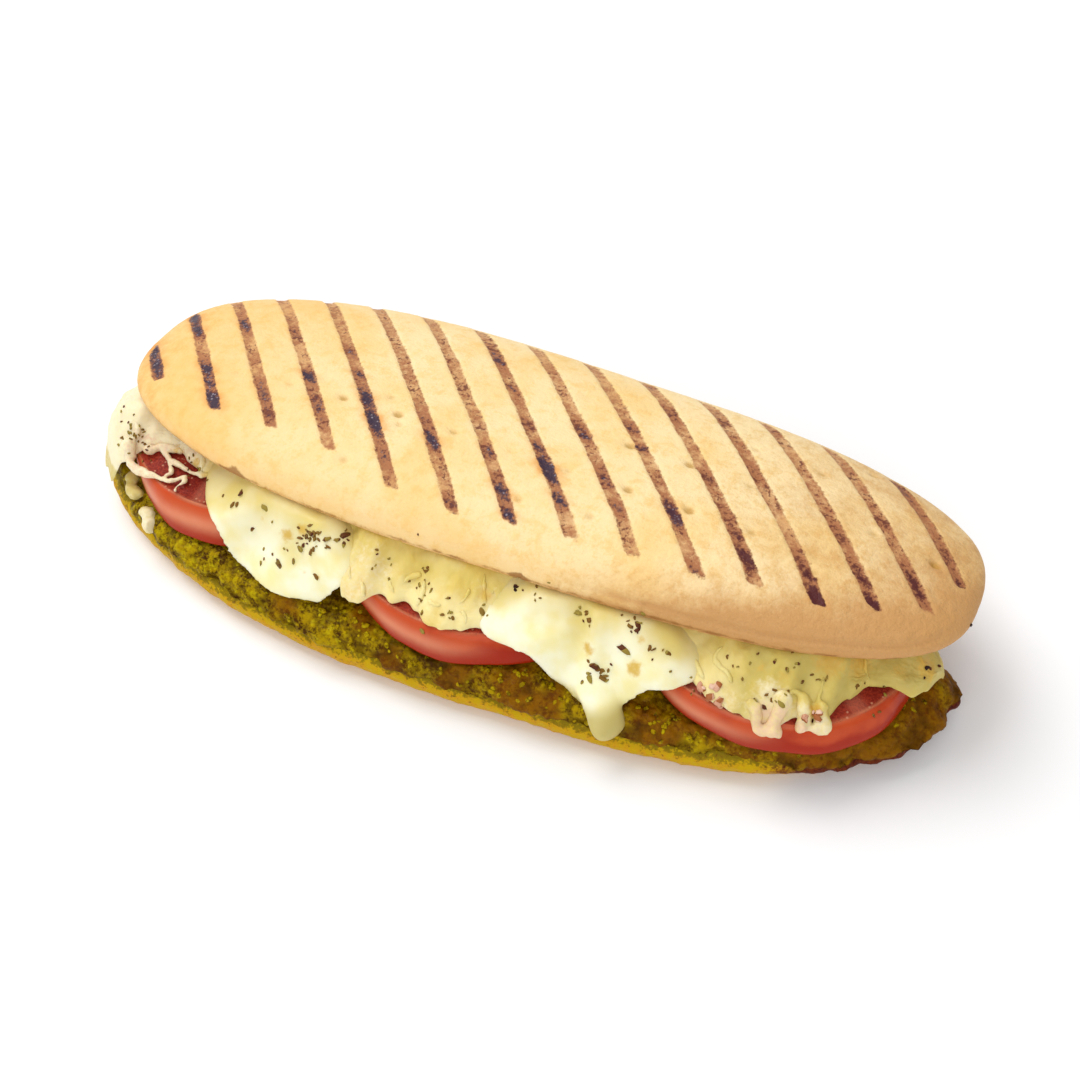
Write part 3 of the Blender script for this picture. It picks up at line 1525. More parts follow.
def lump(
    centre: Array, normal: Array, draw: np.random.Generator, radii: tuple[float, float], flat: float
) -> Skin:
    """A small uneven lump with a flattened side, lying on a surface.

    Args:
        centre: Where it lies.
        normal: The surface's direction there.
        draw: The seeded draw for its size and shape.
        radii: Its least and greatest radius.
        flat: Its height as a share of its width.

    Returns:
        The points and the faces of its closed skin.
    """
    around, rings = 7, 4
    size = draw.uniform(*radii)
    long = draw.uniform(1.0, 1.7)
    angle = np.linspace(0.0, 2 * math.pi, around, endpoint=False) + draw.uniform(0.0, 1.0)
    tilt = np.linspace(0.0, math.pi, rings + 2)[1:-1]
    uneven = draw.uniform(0.75, 1.2, (rings, around))
    ball = np.stack(
        [
            np.sin(tilt)[:, None] * np.cos(angle)[None] * long,
            np.sin(tilt)[:, None] * np.sin(angle)[None],
            -np.cos(tilt)[:, None] * flat * np.ones(around)[None],
        ],
        axis=-1,
    )
    ball *= uneven[..., None] * size
    side = np.cross(normal, draw.normal(size=3))
    side /= np.linalg.norm(side) + 1e-9
    turn = np.stack([side, np.cross(normal, side), normal])
    return closed_skin(ball @ turn + centre)


@dataclass
class TomatoSlice:
    """A thick slice, cut slantwise, that sags with the pesto under it."""

    number: int
    centre: tuple[float, float]
    long_radius: float
    short_radius: float
    turn: float
    lean: tuple[float, float]
    shine_turn: float
    segments: int = 200
    noise: SmoothNoise = field(default_factory=lambda: SmoothNoise(53))

    def radius_at(self, x: Array, y: Array) -> Array:
        """The plan radius on the slice: 1 on the rim of its upper face."""
        dx, dy = x - self.centre[0], y - self.centre[1]
        along = dx * math.cos(self.turn) + dy * math.sin(self.turn)
        across = dy * math.cos(self.turn) - dx * math.sin(self.turn)
        return np.hypot(along / self.long_radius, across / self.short_radius)

    def build(self, finish: Material) -> Piece:
        """Makes the slice.

        Args:
            finish: The tomato's material.

        Returns:
            The piece.
        """
        # The profile runs from the middle of the lower face, round the skin, to the middle of the upper face.
        swell = np.linspace(-1.0, 1.0, 21)
        face_out = np.array([0.06, 0.3, 0.5, 0.64, 0.74, 0.81, 0.86, 0.90, 0.93, 0.95, 0.962])
        skin_out = 0.966 + 0.034 * np.sqrt(1.0 - np.abs(swell) ** 2.6)
        out = np.concatenate([face_out, skin_out, face_out[::-1]])
        level = np.concatenate([-np.ones(len(face_out)), swell, np.ones(len(face_out))])
        hollow = 0.35 * smooth_step(0.965, 0.9, face_out[::-1])
        sunk = np.concatenate([np.zeros(len(face_out) + len(swell)), hollow])
        angle = np.linspace(0.0, 2 * math.pi, self.segments, endpoint=False)
        lobes = 1.0 + 0.012 * np.cos(5 * angle + self.number) + 0.004 * np.cos(13 * angle)
        along = self.long_radius * out[:, None] * (lobes * np.cos(angle))[None]
        across = self.short_radius * out[:, None] * (lobes * np.sin(angle))[None]
        x = self.centre[0] + along * math.cos(self.turn) - across * math.sin(self.turn)
        y = self.centre[1] + along * math.sin(self.turn) + across * math.cos(self.turn)
        down = (1.0 - level)[:, None] / 2
        x, y = x + self.lean[0] * down, y + self.lean[1] * down
        half = LOAF.tomato_thickness / 2
        middle = LOAF.pesto_top(x, y) + LOAF.touch_gap + half
        z = middle + (half * level - sunk)[:, None]
        skin, faces = closed_skin(np.stack([x, y, z], axis=-1))
        piece = add_mesh(f"tomato_{self.number}", skin, faces, finish)
        displace(piece, lambda points: self.noise.waves(points, (0.07, 3.0), (0.03, 1.2)))
        self._dress(piece)
        return piece

    def _dress(self, piece: Piece) -> None:
        """Keeps where the slice is cut, its pale edge line, its ribs, its shine and its deeper red."""
        x, y, z = points_of(piece).T
        upward = normals_of(piece)[:, 2]
        radius = self.radius_at(x, y)
        height = z - LOAF.pesto_top(x, y)
        angle = np.arctan2(y - self.centre[1], x - self.centre[0])
        cut = smooth_step(0.8, 0.95, np.abs(upward)) * smooth_step(0.985, 0.96, radius)
        ripe = smooth_step(-0.2, 0.9, np.cos(angle - math.radians(self.shine_turn + 100.0)))
        middle = np.exp(-(((height - 0.6 * LOAF.tomato_thickness) / 1.7) ** 2))
        facing = smooth_step(0.3, 0.9, np.cos(angle - math.radians(self.shine_turn)))
        spokes = smooth_step(0.9, 1.0, np.cos(5 * angle + self.number))
        keep_values(
            piece,
            cut=cut,
            low=smooth_step(6.0, 1.0, height) + 0.4 * ripe,
            line=np.exp(-(((radius - 0.962) / 0.009) ** 2)) * (upward > 0.3),
            shine=middle * facing,
            rib=spokes * smooth_step(0.3, 0.5, radius) * cut,
        )


TOMATOES = (
    TomatoSlice(1, (-86.0, 2.5), 36.0, 30.0, math.radians(-25.0), (5.0, -5.5), -100.0),
    TomatoSlice(2, (-4.5, -9.5), 40.0, 31.0, 0.0, (2.0, -3.0), -125.0),
    TomatoSlice(3, (75.8, 1.5), 39.5, 36.0, 0.0, (1.5, -1.5), -135.0),
)


def cheese_floor(x: Array, y: Array) -> Array:
    """What the cheese lies on: the tomato slices, the bridges between them, and the pesto beyond them.

    Args:
        x: Places along the bread.
        y: Places across it.

    Returns:
        The level of the cheese's underside.
    """
    nearest = np.min([slice_.radius_at(x, y) for slice_ in TOMATOES], axis=0)
    carried = 1.0 - smooth_step(1.12, 1.30, nearest)
    bridged = (1 - smooth_step(26.0, 34.0, np.abs(y))) * (1 - smooth_step(92.0, 104.0, np.abs(x)))
    low = LOAF.pesto_top(x, y)
    high = low + LOAF.touch_gap + LOAF.tomato_thickness
    return LOAF.touch_gap + low + (high - low) * np.maximum(carried, bridged)


def melt_height(
    x: Array, y: Array, inside: Array, edge: float, lumps: Array, rise_mm: float = 17.0
) -> Array:
    """The upper surface of melted cheese.

    Args:
        x: Places along the bread.
        y: Places across it.
        inside: How far each place lies in from the cheese's edge.
        edge: The thickness of the rounded edge.
        lumps: The relief on top.
        rise_mm: How far in the cheese takes to reach the upper half.

    Returns:
        The surface's level.
    """
    floor = cheese_floor(x, y)
    ceiling = LOAF.lid_height(y) + 0.3
    rounded = edge * quarter_round(inside / (1.3 * edge))
    rise = smooth_step(0.0, rise_mm, inside) * np.maximum(0.0, ceiling - floor - edge)
    return np.minimum(ceiling, floor + 0.2 + rounded + rise + lumps)


def under_rim(points: Array) -> Array:
    """How close a point lies to the upper half's rim, where oil gathers and little light comes."""
    x, y, _ = LOAF.loaf_to_upper(points).T
    return smooth_step(1.27, 1.02, LOAF.upper_radius(x, y))


@dataclass
class MozzarellaSlice:
    """A slice of mozzarella that has melted into a smooth lobe over the edge of the tomato."""

    number: int
    outline: tuple
    drip: tuple = ()
    drip_radii: tuple = ()
    drip_flatness: float = 0.68
    segments: int = 220
    rings: int = 46
    edge: float = 3.4
    lump: float = 0.9
    lump_size: float = 13.0
    voxel: float = 0.62
    # Each slice reads its lumps this far from the last slice's.
    seat_mm: float = 40.0
    noise: SmoothNoise = field(default_factory=lambda: SmoothNoise(61))

    def build(self, finish: Material) -> Piece:
        """Makes the slice, with its drip if it has one.

        Args:
            finish: The mozzarella's material.

        Returns:
            The piece.
        """
        share = np.arange(self.segments) / self.segments
        rim = closed_curve(self.outline, share)
        middle = np.array(self.outline, float).mean(axis=0)
        out = np.sin(np.linspace(0.02, math.pi / 2, self.rings))
        under = np.linspace(0.05, 0.97, 9)
        shares = np.concatenate([under, out[::-1]])
        is_over = np.arange(len(shares)) >= len(under)
        plan = middle + (rim - middle)[None] * shares[:, None, None]
        x, y = plan[..., 0], plan[..., 1]
        inside = np.linalg.norm(rim - middle, axis=1)[None] * (1.0 - shares)[:, None]
        flat = on_plan(x, y) + self.seat_mm * self.number
        lumps = self.noise.waves(flat, (self.lump, self.lump_size), (0.35, 6.0))
        lumps = lumps.reshape(x.shape) * smooth_step(0.0, 5.0, inside)
        top = melt_height(x, y, inside, self.edge, lumps)
        z = np.where(is_over[:, None], top, cheese_floor(x, y) - 0.2)
        skins = [closed_skin(np.stack([x, y, z], axis=-1))]
        if self.drip:
            skins.append(self._drip())
        skin, faces = join_skins(skins)
        piece = add_mesh(f"mozzarella_{self.number}", skin, faces, finish)
        fuse(piece, self.voxel, 9)
        displace(piece, lambda points: self.noise.waves(points, (0.10, 4.0), (0.03, 1.8)))
        return piece

    def _drip(self) -> Skin:
        """The tongue of cheese that runs down over the pesto and the front rim."""
        knots = np.array(self.drip, float)
        numbers = np.arange(len(knots))
        place = np.linspace(0.0, len(knots) - 1, 24)
        path = np.stack([np.interp(place, numbers, knots[:, i]) for i in range(3)], axis=1)
        radii = np.interp(place, numbers, self.drip_radii)
        radii *= 1.0 + 0.10 * np.sin(1.9 * place + 1.0)
        radii[-4:] *= np.array([0.97, 0.88, 0.70, 0.42])
        return closed_skin(tube(path, radii, 18, self.drip_flatness))

    def dress(self, piece: Piece, toasted: Spots) -> None:
        """Keeps where the cheese is toasted, where it is yellow with oil and where it runs thin.

        Args:
            piece: The slice.
            toasted: The toasted spots, each with its place, reach and strength.
        """
        points = points_of(piece)
        dips = smooth_step(0.0, 0.9, -self.noise.at(points + self.seat_mm * self.number, self.lump_size))
        keep_values(
            piece,
            toast=spots(points, toasted),
            hollow=under_rim(points) * 0.75 + 0.25 * dips,
            thin=smooth_step(19.2, 15.4, points[:, 2]) if self.drip else 0.0,
            milky=0.0,
            blushed=0.0,
        )


def spots(points: Array, toasted: Spots) -> Array:
    """The strongest of several soft spots at each point."""
    total = np.zeros(len(points))
    for centre, reach, strength in toasted:
        total = np.maximum(total, strength * sphere_cut(points, centre, reach))
    return total


MOZZARELLA = (
    MozzarellaSlice(
        1,
        ((-60, 27), (-42, 19), (-32, 0), (-28, -20), (-26.5, -33), (-31.5, -38.6), (-42, -40.6), (-52, -41.2),
         (-63, -37), (-73, -33), (-81, -25), (-85.5, -12), (-83, 10), (-74, 22))[::-1],
    ),
    MozzarellaSlice(
        2,
        ((33, 27), (50, 20), (63, 4), (67.5, -14), (66.5, -27), (61, -34), (54, -36.5), (47, -38.5),
         (40, -41), (33, -38.5), (26, -38.5), (18, -38.5), (9, -36.5), (0, -22), (1, 0), (8, 16),
         (20, 25))[::-1],
        ((40.8, -32.5, 20.4), (42.8, -37.0, 18.4), (45.0, -40.2, 16.4), (46.9, -42.0, 14.0),
         (48.6, -43.2, 11.8),
         (49.6, -43.8, 9.8)),
        (4.0, 4.2, 3.8, 3.3, 3.0, 2.7),
    ),
)

GRATED_FRONT = (
    (-127, -2), (-126, -10), (-122, -17), (-116, -22), (-111, -21), (-107, -16), (-103, -13), (-97, -13),
    (-91, -16), (-85, -18), (-60, -28), (-34, -34), (-29.5, -40), (-25, -41), (-19.5, -36), (-16.5, -38),
    (-13, -36), (-9, -37.4), (-5.5, -40), (-0.5, -40), (4, -38.5), (9, -36), (20, -34), (45, -32),
    (63, -29), (72, -33), (78, -33), (83, -33.5), (88, -32), (92, -28), (98, -26), (102, -18), (106, -12),
    (111, -10), (116, -10), (119, -6.5), (122, 1),
)


def grated_front(x: Array) -> Array:
    """The front edge of the melted grated cheese, as y at each x."""
    knots = np.array(GRATED_FRONT, float)
    k = np.clip(np.searchsorted(knots[:, 0], x, side="right") - 1, 0, len(knots) - 2)
    x0, y0, x1, y1 = knots[k, 0], knots[k, 1], knots[k + 1, 0], knots[k + 1, 1]
    t = np.clip((x - x0) / (x1 - x0), 0.0, 1.0)
    return y0 + (y1 - y0) * t * t * (3.0 - 2.0 * t)


@dataclass
class GratedCheese:
    """Grated cheese melted into a lumpy blanket, with shreds that still show along its front."""

    rings: int = 520
    over: int = 84
    underside: int = 12
    edge: float = 2.0
    lump: float = 0.8
    back_share: float = 0.87
    shred_count: int = 30
    noise: SmoothNoise = field(default_factory=lambda: SmoothNoise(71))
    # Strands that bridge the left tomato, and drips at the right: plan points and end radii.
    strands: tuple = (
        (((-112, -17), (-108, -21), (-102, -23.5), (-97, -24)), 2.1, 0.9),
        (((-98, -24), (-94, -23.4), (-89, -20.6)), 0.9, 0.7),
        (((-90, -20.5), (-89.6, -23), (-90.2, -26.2)), 0.8, 0.5),
        (((-104, -13), (-97, -17.5), (-89.5, -18.6), (-82.5, -17.8)), 1.0, 0.7),
        (((-97, -18), (-95, -20.5), (-95.2, -23)), 0.8, 0.6),
        (((-90, -12), (-87, -16), (-85.5, -20)), 1.0, 0.7),
        (((-107, -16), (-103, -14), (-96, -13)), 1.6, 1.2),
        (((87, -26), (88, -31), (87.5, -34.5)), 2.4, 2.3),
        (((97, -24), (98.5, -27), (97.5, -30)), 2.2, 2.0),
        (((92, -24), (93.5, -28), (94.5, -31)), 1.9, 1.9),
        (((80, -31), (83, -33), (86, -35)), 1.7, 1.6),
    )
    # Lumps of cheese that have run down onto the pesto at the left: plan points and radii.
    run_down: tuple = (
        (((-113, -18), (-109.5, -21.5), (-106, -24.5)), 2.3, 2.0),
        (((-102, -26.8), (-99, -29.8), (-97, -31)), 2.2, 2.4),
    )
    # How far a strand stands up from the tomato, and how far a lump sinks in the pesto, in radii.
    strand_lift: float = 0.35
    lump_lift: float = -0.45

    def build(self, finish: Material) -> Piece:
        """Makes the blanket.

        Args:
            finish: The cheese's material.

        Returns:
            The piece.
        """
        left, right = GRATED_FRONT[0], GRATED_FRONT[-1]
        x = np.linspace(left[0] + 0.15, right[0] - 0.15, self.rings)
        to_end = np.minimum(x - left[0], right[0] - x)
        tip = np.where(x < 0, left[1], right[1])
        seat = on_plan(x, np.zeros_like(x))
        taper = quarter_round(to_end / 24.0)
        back = tip + (self.back_share * LOAF.lower_width_at(x) - tip) * taper
        back += self.noise.waves(seat, (1.5, 11.0), (0.9, 4.0)) * taper
        front = tip + (grated_front(x) + 0.5 * self.noise.at(seat, 2.6) - tip) * quarter_round(to_end / 3.0)
        # The front two fifths of the blanket take most of the steps, because only they lie open.
        step = np.linspace(0.0, 1.0, self.over)
        over = -1.0 + 2.0 * (0.55 * step**1.9 + 0.45 * step**4)
        under = np.linspace(1.0, -1.0, self.underside + 2)[1:-1]
        across = np.concatenate([over, under])
        is_over = np.arange(len(across)) < len(over)
        y = (front + back)[:, None] / 2 + across[None] * (back - front)[:, None] / 2
        x = np.broadcast_to(x[:, None], y.shape)
        inside = np.minimum(y - front[:, None], back[:, None] - y)
        inside = np.minimum(inside, 1.2 * to_end[:, None])
        flat = on_plan(x, y)
        lumps = self.lump * self.noise.at(flat, 6.0) + 0.22 * self._threads(flat)
        lumps = lumps.reshape(x.shape) * smooth_step(0.0, 2.5, inside)
        top = melt_height(x, y, inside, self.edge, lumps)
        z = np.where(is_over[None], top, cheese_floor(x, y) - 0.25)
        skin, faces = closed_skin(np.stack([x, y, z], axis=-1)[:, ::-1])
        piece = add_mesh("grated_melt", skin, faces, finish)
        displace(piece, lambda points: 0.16 * self.noise.layered(points, 2.2, 2))
        return piece

    def _threads(self, flat: Array) -> Array:
        """Rounded ridges that run in mixed directions, as half-melted shreds do."""
        bend = 2.2 * self.noise.at(flat + 13.0, 14.0)
        x, y, _ = flat.T
        cos, sin = np.cos(bend), np.sin(bend)
        turned = on_plan(x * cos + y * sin, y * cos - x * sin)
        ridge = self.noise.at(turned, (2.3, 9.0, 5.0))
        return 1.0 - 2.0 * np.abs(ridge) ** 0.8

    def build_shreds(self, finish: Material) -> Piece:
        """Makes the shreds, strands and drips along the open front, melted together.

        Args:
            finish: The cheese's material.

        Returns:
            The piece.
        """
        draw = np.random.default_rng(83)
        skins = []
        for plan, first, last in self.strands:
            skins.append(self._strand(np.array(plan, float), first, last, self._surface, self.strand_lift))
        for plan, first, last in self.run_down:
            skins.append(self._strand(np.array(plan, float), first, last, LOAF.pesto_top, self.lump_lift))
        for _ in range(self.shred_count):
            x = draw.uniform(-122.0, 118.0)
            y = float(grated_front(np.array([x]))[0]) + draw.uniform(1.5, 8.0)
            heading = draw.normal(-math.pi / 2, 0.9)
            length = draw.uniform(4.0, 9.0)
            bend = draw.normal(0.0, 0.35)
            place = np.linspace(-0.5, 0.5, 7)
            turned = heading + bend * place * 2
            path = np.stack([x + np.cos(turned) * length * place, y + np.sin(turned) * length * place], axis=1)
            path[:, 1] = np.maximum(path[:, 1], grated_front(path[:, 0]) + 0.5)
            radius = draw.uniform(0.6, 1.0)
            skins.append(self._shred(path, radius))
        skin, faces = join_skins(skins)
        piece = add_mesh("grated_shreds", skin, faces, finish)
        fuse(piece, 0.4, 9)
        displace(piece, lambda points: 0.3 * self.noise.layered(points + 5.0, 2.4, 2))
        return piece

    def _surface(self, x: Array, y: Array) -> Array:
        """The blanket's level, or what carries it in front of its edge."""
        inside = np.maximum(0.0, y - grated_front(x))
        return melt_height(x, y, inside, self.edge, np.zeros_like(x))

    def _strand(
        self, plan: Array, first: float, last: float, level: Callable, lift: float
    ) -> Skin:
        """A thick strand that lies on the tomato or on the pesto.

        Args:
            plan: Its plan points.
            first: Its radius at the start.
            last: Its radius at the end.
            level: Gives the height of what it lies on.
            lift: How far its middle stands above that, in radii.

        Returns:
            The points and the faces of its closed skin.
        """
        place = np.linspace(0.0, 1.0, 16)
        knots = np.linspace(0.0, 1.0, len(plan))
        x, y = np.interp(place, knots, plan[:, 0]), np.interp(place, knots, plan[:, 1])
        x, y = x + 0.5 * np.sin(9.0 * place + plan[0, 0]), y + 0.4 * np.sin(7.0 * place + plan[0, 1])
        radii = (first + (last - first) * place) * (0.9 + 0.14 * np.sin(11.0 * place + plan[0, 0]))
        z = level(x, y) + lift * radii
        radii[[0, -1]] *= 0.55
        return closed_skin(tube(np.stack([x, y, z], axis=1), radii, 10))

    def _shred(self, path: Array, radius: float) -> Skin:
        """A short half-melted shred that lies on the blanket or hangs over its edge."""
        z = self._surface(path[:, 0], path[:, 1]) + 0.1 * radius
        radii = radius * np.sqrt(np.clip(1.08 - np.linspace(-1.0, 1.0, len(path)) ** 2, 0.05, 1.0))
        return closed_skin(tube(np.column_stack([path, z]), radii, 8))

    def dress(self, piece: Piece, toasted: Spots) -> None:
        """Keeps where the cheese is toasted, yellow with oil, thin, milky or blushed.

        Args:
            piece: The blanket or its shreds.
            toasted: The toasted spots, each with its place, reach and strength.
        """
        points = points_of(piece)
        x, y, z = points.T
        dips = smooth_step(0.1, 0.9, -self.noise.at(points, 5.0))
        drips = smooth_step(78.0, 84.0, x) * smooth_step(-23.0, -28.0, y)
        on_pesto = smooth_step(19.6, 17.4, z) * (x < -88.0)
        patches = smooth_step(-0.5, 0.35, self.noise.at(points + 30.0, 7.0))
        oily = smooth_step(70.0, 80.0, x) * (1.0 - drips) * (0.3 + 0.5 * patches)
        left = smooth_step(-78.0, -92.0, x) * (1.0 - 0.75 * on_pesto)
        beside = smooth_step(-12.0, -20.0, x) + smooth_step(1.0, 8.0, x) * smooth_step(84.0, 74.0, x)
        front = smooth_step(-84.0, -90.0, x) * smooth_step(-117.0, -108.0, x) * smooth_step(-9.0, -14.0, y)
        blushed = 0.6 * front + 0.8 * drips * smooth_step(-26.0, -32.0, y)
        keep_values(
            piece,
            toast=spots(points, toasted),
            hollow=under_rim(points) * 0.7 + 0.3 * dips + 0.45 * smooth_step(74.0, 84.0, x),
            thin=0.6 * on_pesto + oily,
            milky=np.maximum(left, 0.6 * drips) + 0.42 * beside * smooth_step(-22.0, -33.0, y),
            blushed=blushed * (z > 19.5),
        )


class Surface:
    """The open surfaces that small things lie on, as the camera sees them."""

    def __init__(self, pieces: Sequence[Piece], camera: Camera) -> None:
        """Reads the pieces.

        Args:
            pieces: The pieces that carry small things.
            camera: The camera whose pixels say where the things lie.
        """
        self._camera = camera
        self._trees = []
        for piece in pieces:
            faces = [tuple(face.vertices) for face in piece.data.polygons]
            self._trees.append(BVHTree.FromPolygons(points_of(piece).tolist(), faces))

    def seen_at(self, across: float, down: float) -> Hit | None:
        """What lies under a pixel of the square picture.

        Args:
            across: The pixel's place from the left.
            down: The pixel's place from the top.

        Returns:
            The point and the surface's direction there, or None.
        """
        start = Vector(self._camera.position())
        ray = Vector(self._camera.ray(across, down))
        best = None
        for tree in self._trees:
            place, normal, _, distance = tree.ray_cast(start, ray)
            if place is not None and (best is None or distance < best[0]):
                best = (distance, np.array(place), np.array(normal))
        return None if best is None else (best[1], best[2])

    def strewn(
        self, draw: np.random.Generator, across: float, down: float, spread: float, count: int
    ) -> Iterator[Hit | None]:
        """Draws places round a pixel.

        Args:
            draw: The seeded draw.
            across: The middle pixel's place from the left.
            down: The middle pixel's place from the top.
            spread: How far the places spread, in pixels.
            count: How many places there are.

        Yields:
            What lies under each place, or None.
        """
        for _ in range(count):
            jitter = draw.normal(0.0, 0.5, 2) * spread
            yield self.seen_at(across + jitter[0], down + jitter[1])

    def spots_at(self, wanted: Sequence[tuple[float, float, float, float]]) -> Spots:
        """Finds where soft spots lie from the pixels they show at.

        Args:
            wanted: Each spot's pixel, reach in millimetres and strength.

        Returns:
            Each spot's place, reach and strength.
        """
        seen = ((self.seen_at(across, down), reach, strength) for across, down, reach, strength in wanted)
        return [(hit[0], reach, strength) for hit, reach, strength in seen if hit is not None]


def flake(
    centre: Array, normal: Array, draw: np.random.Generator, length: float, width: float
) -> Skin:
    """A thin, irregular, slightly curled flake that lies on a surface.

    Args:
        centre: Where it lies.
        normal: The surface's direction there.
        draw: The seeded draw for its shape.
        length: Its length.
        width: Its width.

    Returns:
        The points and the faces of its closed skin.
    """
    around = 9
    angle = np.linspace(0.0, 2 * math.pi, around, endpoint=False)
    reach = draw.uniform(0.65, 1.15, around)
    flat = np.stack([0.5 * length * reach * np.cos(angle), 0.5 * width * reach * np.sin(angle)], axis=1)
    curl = 0.10 * (flat[:, 0] / (0.5 * length)) ** 2 * length * draw.uniform(-0.3, 1.0)
    thick = draw.uniform(0.16, 0.3)
    levels = []
    for share, level in ((0.9, -0.2), (1.0, 0.0), (0.92, thick)):
        levels.append(np.column_stack([flat * share, curl + level]))
    side = np.cross(normal, draw.normal(size=3))
    side /= np.linalg.norm(side) + 1e-9
    lean = normal + 0.18 * draw.normal(size=3)
    lean /= np.linalg.norm(lean)
    side -= lean * (side @ lean)
    side /= np.linalg.norm(side)
    turn = np.stack([side, np.cross(lean, side), lean])
    return closed_skin(np.stack(levels) @ turn + centre)


@dataclass
class Herbs:
    """Dried herb flakes, thrown over the open cheese, in the clusters that the picture shows."""

    # Clusters by the pixel of their middle: across, down, spread, how many and the largest length.
    clusters: tuple = (
        (311.0, 541.0, 15.0, 26, 2.6), (599.0, 674.0, 13.0, 12, 2.8), (280.0, 552.0, 26.0, 8, 2.0),
        (345.0, 540.0, 10.0, 5, 2.6), (452.0, 617.0, 9.0, 7, 2.0), (424.0, 596.0, 22.0, 9, 2.0),
        (425.0, 566.0, 20.0, 7, 2.0), (484.0, 612.0, 8.0, 3, 2.4), (250.0, 515.0, 26.0, 5, 2.0),
        (634.0, 626.0, 15.0, 9, 2.2), (582.0, 612.0, 12.0, 7, 2.0), (775.0, 690.0, 26.0, 9, 2.0),
        (800.0, 668.0, 34.0, 9, 1.9), (735.0, 662.0, 26.0, 7, 1.8), (690.0, 690.0, 12.0, 4, 1.8),
        (860.0, 690.0, 26.0, 7, 1.7), (130.0, 428.0, 16.0, 20, 1.6), (142.0, 452.0, 16.0, 14, 1.7),
        (196.0, 468.0, 14.0, 8, 1.6), (660.0, 650.0, 24.0, 5, 1.8),
        (530.0, 590.0, 20.0, 6, 1.8), (376.0, 566.0, 18.0, 7, 1.8),
    )
    least_length: float = 0.9
    least_width: float = 0.5
    # Single large flakes: the pixel, the length and the width.
    singles: tuple = (
        (624.0, 650.0, 4.4, 2.0), (241.0, 493.0, 2.8, 1.8), (265.0, 508.0, 2.6, 1.6),
        (345.0, 535.0, 3.0, 1.8),
        (279.0, 564.0, 3.2, 1.6), (482.0, 612.0, 2.6, 1.8), (638.0, 625.0, 2.4, 1.6),
        (578.0, 613.0, 2.6, 1.4),
        (589.0, 620.0, 2.2, 1.4), (316.0, 576.0, 2.4, 1.3), (300.0, 549.0, 3.2, 1.9),
        (594.0, 666.0, 3.2, 2.0),
        (603.0, 678.0, 2.8, 1.6), (781.0, 704.0, 2.6, 1.5), (668.0, 653.0, 2.2, 1.3),
        (422.0, 631.0, 2.0, 1.3),
    )

    def build(self, surface: Surface, finish: Material) -> Piece:
        """Makes the flakes.

        Args:
            surface: The open surfaces.
            finish: The herbs' material.

        Returns:
            The piece.
        """
        draw = np.random.default_rng(97)
        skins = []
        for across, down, length, width in self.singles:
            hit = surface.seen_at(across, down)
            if hit is not None:
                skins.append(flake(*hit, draw, length, width))
        for across, down, spread, count, largest in self.clusters:
            for hit in surface.strewn(draw, across, down, spread, count):
                length = largest * draw.uniform(0.3, 1.0) ** 1.3
                if hit is not None:
                    width = max(self.least_width, length * draw.uniform(0.35, 0.7))
                    skins.append(flake(*hit, draw, max(self.least_length, length), width))
        skin, faces = join_skins(skins)
        return add_mesh("herb_flakes", skin, faces, finish)


@dataclass
class Crumbs:
    """Small lumps that lie about: char crumbs on the crust, and pinkish bits on the cheese."""

    name: str
    places: tuple
    radii: tuple[float, float]
    seed: int = 5

    def build(self, surface: Surface, finish: Material) -> Piece:
        """Makes the crumbs.

        Args:
            surface: The open surfaces.
            finish: The crumbs' material.

        Returns:
            The piece.
        """
        draw = np.random.default_rng(self.seed)
        skins = []
        for place in self.places:
            for hit in surface.strewn(draw, *place):
                if hit is not None:
                    skins.append(lump(hit[0] + hit[1] * 0.1, hit[1], draw, self.radii, 0.7))
        skin, faces = join_skins(skins)
        return add_mesh(self.name, skin, faces, finish)


def settle(piece: Piece, slot: str, *nodes: str) -> None:
    """Gives a piece its body, its slot and the solids that it stands for, and reports it.

    Args:
        piece: The piece.
        slot: The record's slot that its finish belongs to.
        nodes: The solids that it replaces.
    """
    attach(piece, BODY)
    for node in nodes:
        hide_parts(node)
    replaced = ", ".join(nodes) or "nothing"
    LOG.info("%s: %d faces, in place of %s", piece.name, len(piece.data.polygons), replaced)


# Where the cheese is toasted: the pixel, the reach in millimetres and the strength.
TOASTED = (
    (287.0, 535.0, 2.2, 0.8), (303.0, 530.0, 2.0, 0.8), (588.0, 649.0, 2.0, 0.7), (634.0, 669.0, 2.4, 0.8),
    (485.0, 595.0, 2.4, 0.7), (303.0, 571.0, 1.6, 0.45), (318.0, 577.0, 1.6, 0.45), (815.0, 712.0, 2.4, 0.9),
    (830.0, 663.0, 5.0, 0.7), (860.0, 664.0, 5.0, 0.7), (928.0, 668.0, 3.5, 0.9), (900.0, 672.0, 3.0, 0.5),
    (640.0, 640.0, 1.8, 0.5), (262.0, 520.0, 1.6, 0.4), (400.0, 575.0, 2.0, 0.4), (760.0, 668.0, 2.6, 0.45),
    (178.0, 450.0, 2.6, 0.5), (196.0, 463.0, 2.8, 0.6), (206.0, 474.0, 2.2, 0.5), (786.0, 676.0, 3.0, 0.45),
)


# Where crumbs lie: the pixel, the spread in pixels and how many.
CHAR_PLACES = ((972.0, 627.0, 3.0, 2), (943.0, 651.0, 3.0, 2), (517.0, 588.0, 3.0, 3), (928.0, 667.0, 8.0, 5))
GARLIC_PLACES = ((704.0, 688.0, 5.0, 4), (718.0, 688.0, 5.0, 5), (714.0, 697.0, 8.0, 4),
                 (808.0, 714.0, 9.0, 5))


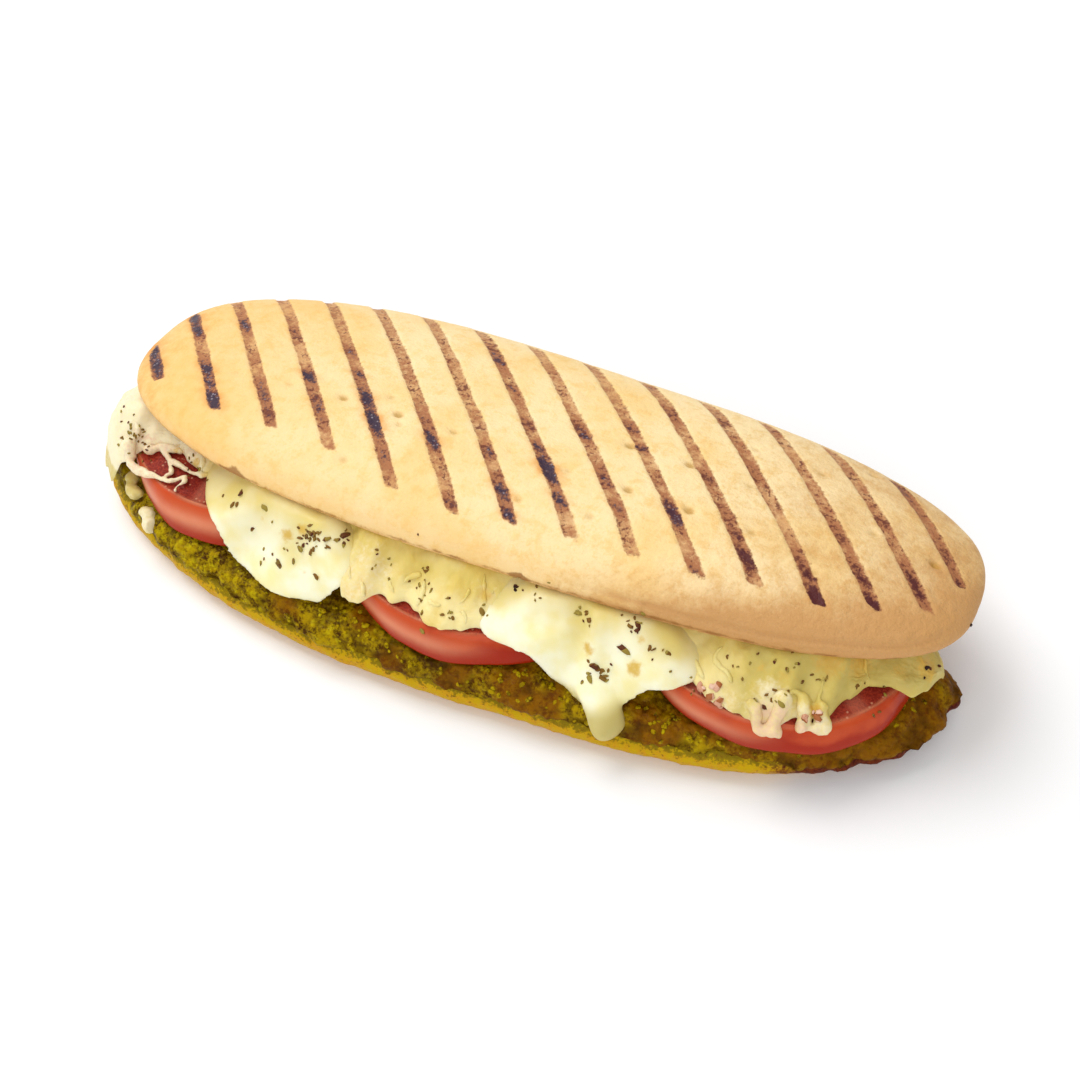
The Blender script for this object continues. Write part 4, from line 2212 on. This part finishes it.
def main() -> None:
    """Builds the pieces in order, from the floor up."""
    logging.basicConfig(level=logging.INFO, format="%(name)s %(message)s")
    camera = Camera()
    camera.build()
    Studio().build()

    upper = UpperBread().build(CrustFinish().build())
    settle(upper, "crust_gold", "bread_top")
    lower = LowerBread().build(OiledCrustFinish().build())
    settle(lower, "crust_oiled", "bread_bottom")

    pesto = Pesto()
    pesto_finish = PestoFinish().build()
    layer = pesto.build(pesto_finish)
    settle(layer, "pesto_green", "pesto")
    settle(pesto.build_bits(layer, pesto_finish), "pesto_green")

    tomato_finish = TomatoFinish().build()
    tomatoes = []
    for slice_ in TOMATOES:
        piece = slice_.build(tomato_finish)
        settle(piece, "tomato_red", f"tomato_slice_{slice_.number}")
        tomatoes.append(piece)

    pale, yellow = linear(250, 247, 216), linear(246, 235, 172)
    white_finish = MeltFinish("mozzarella", pale, yellow, grain_mm=2.0, relief=Relief.SILKY).build()
    pale, yellow = linear(243, 226, 160), linear(232, 202, 110)
    cream_finish = MeltFinish("grated_cheese", pale, yellow, gloss=0.4).build()
    slices = [slice_.build(white_finish) for slice_ in MOZZARELLA]
    cheese = GratedCheese()
    blanket = cheese.build(cream_finish)
    shreds = cheese.build_shreds(cream_finish)
    toasted = Surface([*slices, blanket, shreds], camera).spots_at(TOASTED)
    for slice_, piece in zip(MOZZARELLA, slices):
        slice_.dress(piece, toasted)
        settle(piece, "mozzarella_white", f"mozzarella_slice_{slice_.number}")
    for piece, nodes in ((blanket, ("grated_cheese",)), (shreds, ())):
        cheese.dress(piece, toasted)
        settle(piece, "cheese_cream", *nodes)

    everything = Surface([upper, *slices, blanket, shreds, *tomatoes, layer], camera)
    herb = BitFinish("dried_herbs", linear(126, 88, 34), linear(158, 138, 60), linear(92, 48, 28))
    settle(Herbs().build(everything, herb.build()), "cheese_cream")
    dark = BitFinish("char", linear(84, 44, 26), linear(110, 62, 34), linear(48, 26, 22), 2.0)
    char_crumbs = Crumbs("char_crumbs", CHAR_PLACES, (0.25, 0.6))
    settle(char_crumbs.build(everything, dark.build()), "crust_gold")
    tones = (linear(232, 196, 172), linear(212, 158, 128), linear(168, 100, 58))
    pink = BitFinish("garlic_bits", *tones, 3.0, 0.4)
    garlic_bits = Crumbs("garlic_bits", GARLIC_PLACES, (0.5, 1.1), 9)
    settle(garlic_bits.build(everything, pink.build()), "cheese_cream")


if __name__ == "__main__":
    main()
